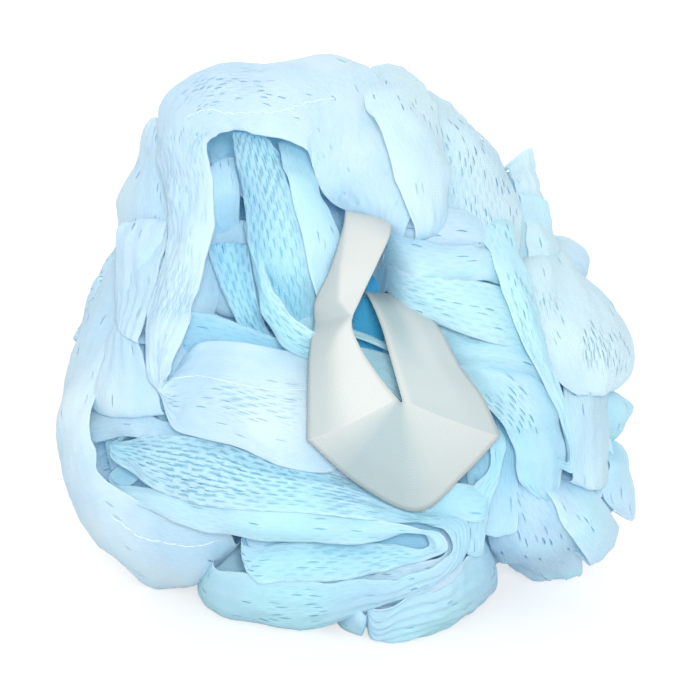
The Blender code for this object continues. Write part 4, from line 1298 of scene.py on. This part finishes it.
class POUF_OT_seams(bpy.types.Operator):
    """Sews the running stitches along the strips"""

    bl_idname = "bath_pouf.seams"
    bl_label = "Add Seams"

    def execute(self, context):
        strips = all_strips(context.scene.bath_pouf_netting)
        thread = context.scene.bath_pouf_thread
        material = thread_material("seam_thread", thread.colour, twist=900.0)
        for n, (name, passed, places) in enumerate(SEAMS):
            strip = strips[name]
            # The leg's stations come before the loop's own
            lead = 1 if TUCKED.get(name) == "first" else 2
            number = strip.number - lead
            i = np.nonzero((number >= passed[0]) & (number <= passed[-1]))[0]
            line = strip.at(i, np.interp(number[i], passed, places))
            stitches = np.sin(2 * math.pi * strip.run[i] / (thread.stitch / MM))
            height = STITCH_LIFT + STITCH_RISE * stitches
            line = to_world(line + strip.away[i] * height[:, None])
            curve = bpy.data.curves.new(f"seam_{n}", "CURVE")
            curve.dimensions = "3D"
            curve.bevel_depth = thread.thickness / 2
            curve.bevel_resolution = 1
            curve.use_fill_caps = True
            spline = curve.splines.new("POLY")
            spline.points.add(len(line) - 1)
            for point, co in zip(spline.points, line):
                point.co = (*co, 1.0)
            curve.materials.append(material)
            obj = bpy.data.objects.new(f"seam_{n}", curve)
            context.scene.collection.objects.link(obj)
            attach(obj, "root")
        return {"FINISHED"}


def satin_back_and_shade_share(number, v, fold):
    """How much of the satin's duller back colour is laid on, from 0 to 1: between the creases the
    ribbon lies turned over and shows its duller back, with painted shade that changes along it,
    and on the strands it is painted shade where each turns away beside the lengthwise fold, with
    a painted shadow in a band of the right strand."""
    first, last = CREASES
    over = (number > first) & (number < last)
    blur = np.interp(number, BLUR_ROWS, BLUR_WIDTHS)
    left = LEFT_PAINTED_SHADE * np.clip((fold - v) / blur + 0.5, 0.0, 1.0)
    shaded = np.exp(-((v - SHADED_PLACE) / SHADED_WIDTH) ** 2) * np.clip(
        (number - SHADED_FROM) / SHADED_ROWS, 0.0, 1.0)
    right = (RIGHT_PAINTED_SHADE + PAINTED_SHADOW_SHARE * shaded) * np.clip((BRIGHT_FROM - v) / 0.1, 0.0, 1.0)
    strand = np.where(number <= first, left, right)
    return np.where(over, np.interp(number, TURNED_ROWS, TURNED_SHARES), strand)


def ribbon_edges(width):
    """Both selvedges of the ribbon at an even pitch, creased at its folds, and each row's number
    among the stations."""
    rows = stations(RIBBON)
    for k, (ax, ay, bx, by) in EASED.items():
        rows[k] = (rows[k][0] + (ax, ay, 0.0), rows[k][1] + (bx, by, 0.0))
    share = width / RIBBON_TRACED
    rows = [((a + b) / 2 - (b - a) / 2 * share, (a + b) / 2 + (b - a) / 2 * share)
            for a, b in rows]
    stops = [0, *CREASES, len(rows) - 1]
    parts = []
    for start, end in zip(stops, stops[1:]):
        a, b, number = smoothed(rows[start:end + 1], RIBBON_PITCH)
        keep = len(a) - (end != stops[-1])
        parts.append((a[:keep], b[:keep], number[:keep] + start))
    return [np.concatenate(part) for part in zip(*parts)]


class POUF_OT_ribbon(bpy.types.Operator):
    """Folds the satin ribbon into the hanging loop"""

    bl_idname = "bath_pouf.ribbon"
    bl_label = "Add Ribbon"

    def execute(self, context):
        settings = context.scene.bath_pouf_ribbon
        a, b, number = ribbon_edges(settings.width)
        width = np.linalg.norm(b - a, axis=1)
        run = run_along((a + b) / 2)
        away = square_to(unit(b - a), (a + b) / 2 - HEART)
        # Lengthwise fold of each strand: its place across the ribbon, and how steeply it turns away
        fold = np.interp(number, FOLD_ROWS, FOLD_PLACES)
        turned = np.interp(number, FOLD_ROWS, FOLD_DEPTHS)
        # The share of the duller back colour and painted shade at each point
        cloth, duller = Cloth(), []
        for k in range(RIBBON_COLUMNS + 1):
            v = k / RIBBON_COLUMNS
            duller.append(satin_back_and_shade_share(number, np.full(len(number), v), fold))
            bow = RIBBON_CROWN * 4 * v * (1 - v) * width + RIBBON_WAVE * np.sin(run / 5 + 5 * v)
            bow -= turned * np.maximum(0.0, fold - v) * width
            cloth.add(a + (b - a) * v + away * bow[:, None], run,
                      np.full(len(run), v * settings.width / MM))
        obj = mesh_object("satin_ribbon", np.concatenate(cloth.points),
                          quads(RIBBON_COLUMNS + 1, len(a)), np.concatenate(cloth.flat),
                          satin_material(settings))
        mark(obj, "duller_side", np.concatenate(duller))
        solid = obj.modifiers.new("Thickness", "SOLIDIFY")
        solid.thickness = settings.thickness
        solid.offset = 0.0
        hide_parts("ribbon_loop")
        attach(obj, "root")
        return {"FINISHED"}


class POUF_OT_tie(bpy.types.Operator):
    """Gives the tie its spun cord finish"""

    bl_idname = "bath_pouf.tie"
    bl_label = "Finish Tie"

    def execute(self, context):
        cord = thread_material("tie_cord", TIE_COLOUR, twist=300.0)
        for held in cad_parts["centre_tie"].material_slots:
            held.material = cord
        return {"FINISHED"}


def pale_stage_material(name, shade, own, strength):
    """Takes the object's shadow, and shows white where the camera or a reflection sees it."""
    made, tree, shader = new_material(name)
    tree.nodes.remove(shader)
    seen = node(tree, "ShaderNodeLightPath", (-700, 300)).outputs
    most = maths(tree, "MAXIMUM", (-500, 300), seen["Is Camera Ray"], seen["Is Glossy Ray"])
    any_ray = maths(tree, "MAXIMUM", (-300, 300), most, seen["Is Transmission Ray"])
    plain = node(tree, "ShaderNodeBsdfDiffuse", (-300, 50), {"Color": (shade, shade, shade, 1.0)})
    soft = node(tree, "ShaderNodeBsdfDiffuse", (-300, -100), {"Color": (own, own, own, 1.0)})
    light = node(tree, "ShaderNodeEmission", (-300, -250), {"Strength": strength})
    both = node(tree, "ShaderNodeAddShader", (-50, -150),
                {0: soft.outputs["BSDF"], 1: light.outputs["Emission"]})
    pick = node(tree, "ShaderNodeMixShader", (150, 50),
                {"Fac": any_ray, 1: plain.outputs["BSDF"], 2: both.outputs["Shader"]})
    feed(tree, tree.nodes["Material Output"], {"Surface": pick.outputs["Shader"]})
    return made


class POUF_OT_stage(bpy.types.Operator):
    """Sets the floor, the light and the camera"""

    bl_idname = "bath_pouf.stage"
    bl_label = "Set Stage"

    def execute(self, context):
        settings = context.scene.bath_pouf_stage
        scene = context.scene
        bpy.ops.mesh.primitive_plane_add(size=FLOOR_SIZE, location=(0.0, 0.0, 0.0))
        floor = context.object
        floor.name = "floor"
        floor.data.materials.append(
            pale_stage_material("floor_white", shade=0.80, own=0.45, strength=0.60))

        world = bpy.data.worlds.new("surroundings")
        scene.world = world
        world.use_nodes = True
        tree = world.node_tree
        seen = node(tree, "ShaderNodeLightPath", (-700, 0))
        level = spread(tree, (-300, 0), seen.outputs["Is Camera Ray"], to_min=settings.world,
                       to_max=1.0)
        feed(tree, tree.nodes["Background"], {"Color": (1.0, 1.0, 1.0, 1.0), "Strength": level})

        for name, strength, (width, toward) in (("key", settings.key, KEY_LIGHT),
                                                ("rim", settings.rim, RIM_LIGHT)):
            lamp = bpy.data.lights.new(name, "SUN")
            lamp.energy = strength
            lamp.angle = width
            light = bpy.data.objects.new(name, lamp)
            light.rotation_euler = Vector(toward).to_track_quat("-Z", "Y").to_euler()
            scene.collection.objects.link(light)

        lens = bpy.data.cameras.new("camera")
        lens.sensor_width = 36.0
        lens.lens = lens.sensor_width * settings.distance / settings.field
        lens.clip_start = 0.1
        lens.clip_end = 30.0
        camera = bpy.data.objects.new("camera", lens)
        out = Vector((0.0, -math.cos(LEAN), math.sin(LEAN)))
        camera.location = MIDDLE + out * settings.distance
        camera.rotation_euler = (math.pi / 2 - LEAN, 0.0, 0.0)
        scene.collection.objects.link(camera)
        scene.camera = camera
        scene.view_settings.view_transform = "Standard"
        return {"FINISHED"}


# Each group of settings, and the buttons of the pieces that it shapes
GROUPS = {
    "bath_pouf_netting": (NettingSettings, (POUF_OT_netting, POUF_OT_core, POUF_OT_heart)),
    "bath_pouf_thread": (ThreadSettings, (POUF_OT_seams, POUF_OT_tie)),
    "bath_pouf_ribbon": (RibbonSettings, (POUF_OT_ribbon,)),
    "bath_pouf_stage": (StageSettings, (POUF_OT_stage,)),
}


class POUF_PT_panel(bpy.types.Panel):
    """Sizes of the pouf and a button for each of its pieces"""

    bl_label = "Bath Pouf"
    bl_idname = "POUF_PT_panel"
    bl_space_type = "VIEW_3D"
    bl_region_type = "UI"
    bl_category = "Bath Pouf"

    def draw(self, context):
        for name, (group, operators) in GROUPS.items():
            box = self.layout.box()
            for key in group.__annotations__:
                box.prop(getattr(context.scene, name), key)
            for operator in operators:
                box.operator(operator.bl_idname)


CLASSES = (NettingSettings, RibbonSettings, ThreadSettings, StageSettings, POUF_OT_netting,
           POUF_OT_core, POUF_OT_heart, POUF_OT_seams, POUF_OT_ribbon, POUF_OT_tie,
           POUF_OT_stage, POUF_PT_panel)


def register():
    for made in CLASSES:
        bpy.utils.register_class(made)
    for name, (group, _) in GROUPS.items():
        setattr(bpy.types.Scene, name, PointerProperty(type=group))


def unregister():
    for name in GROUPS:
        delattr(bpy.types.Scene, name)
    for made in reversed(CLASSES):
        bpy.utils.unregister_class(made)


def main():
    register()
    bpy.ops.bath_pouf.netting()
    bpy.ops.bath_pouf.core()
    bpy.ops.bath_pouf.heart()
    bpy.ops.bath_pouf.seams()
    bpy.ops.bath_pouf.ribbon()
    bpy.ops.bath_pouf.tie()
    bpy.ops.bath_pouf.stage()


if __name__ == "__main__":
    main()
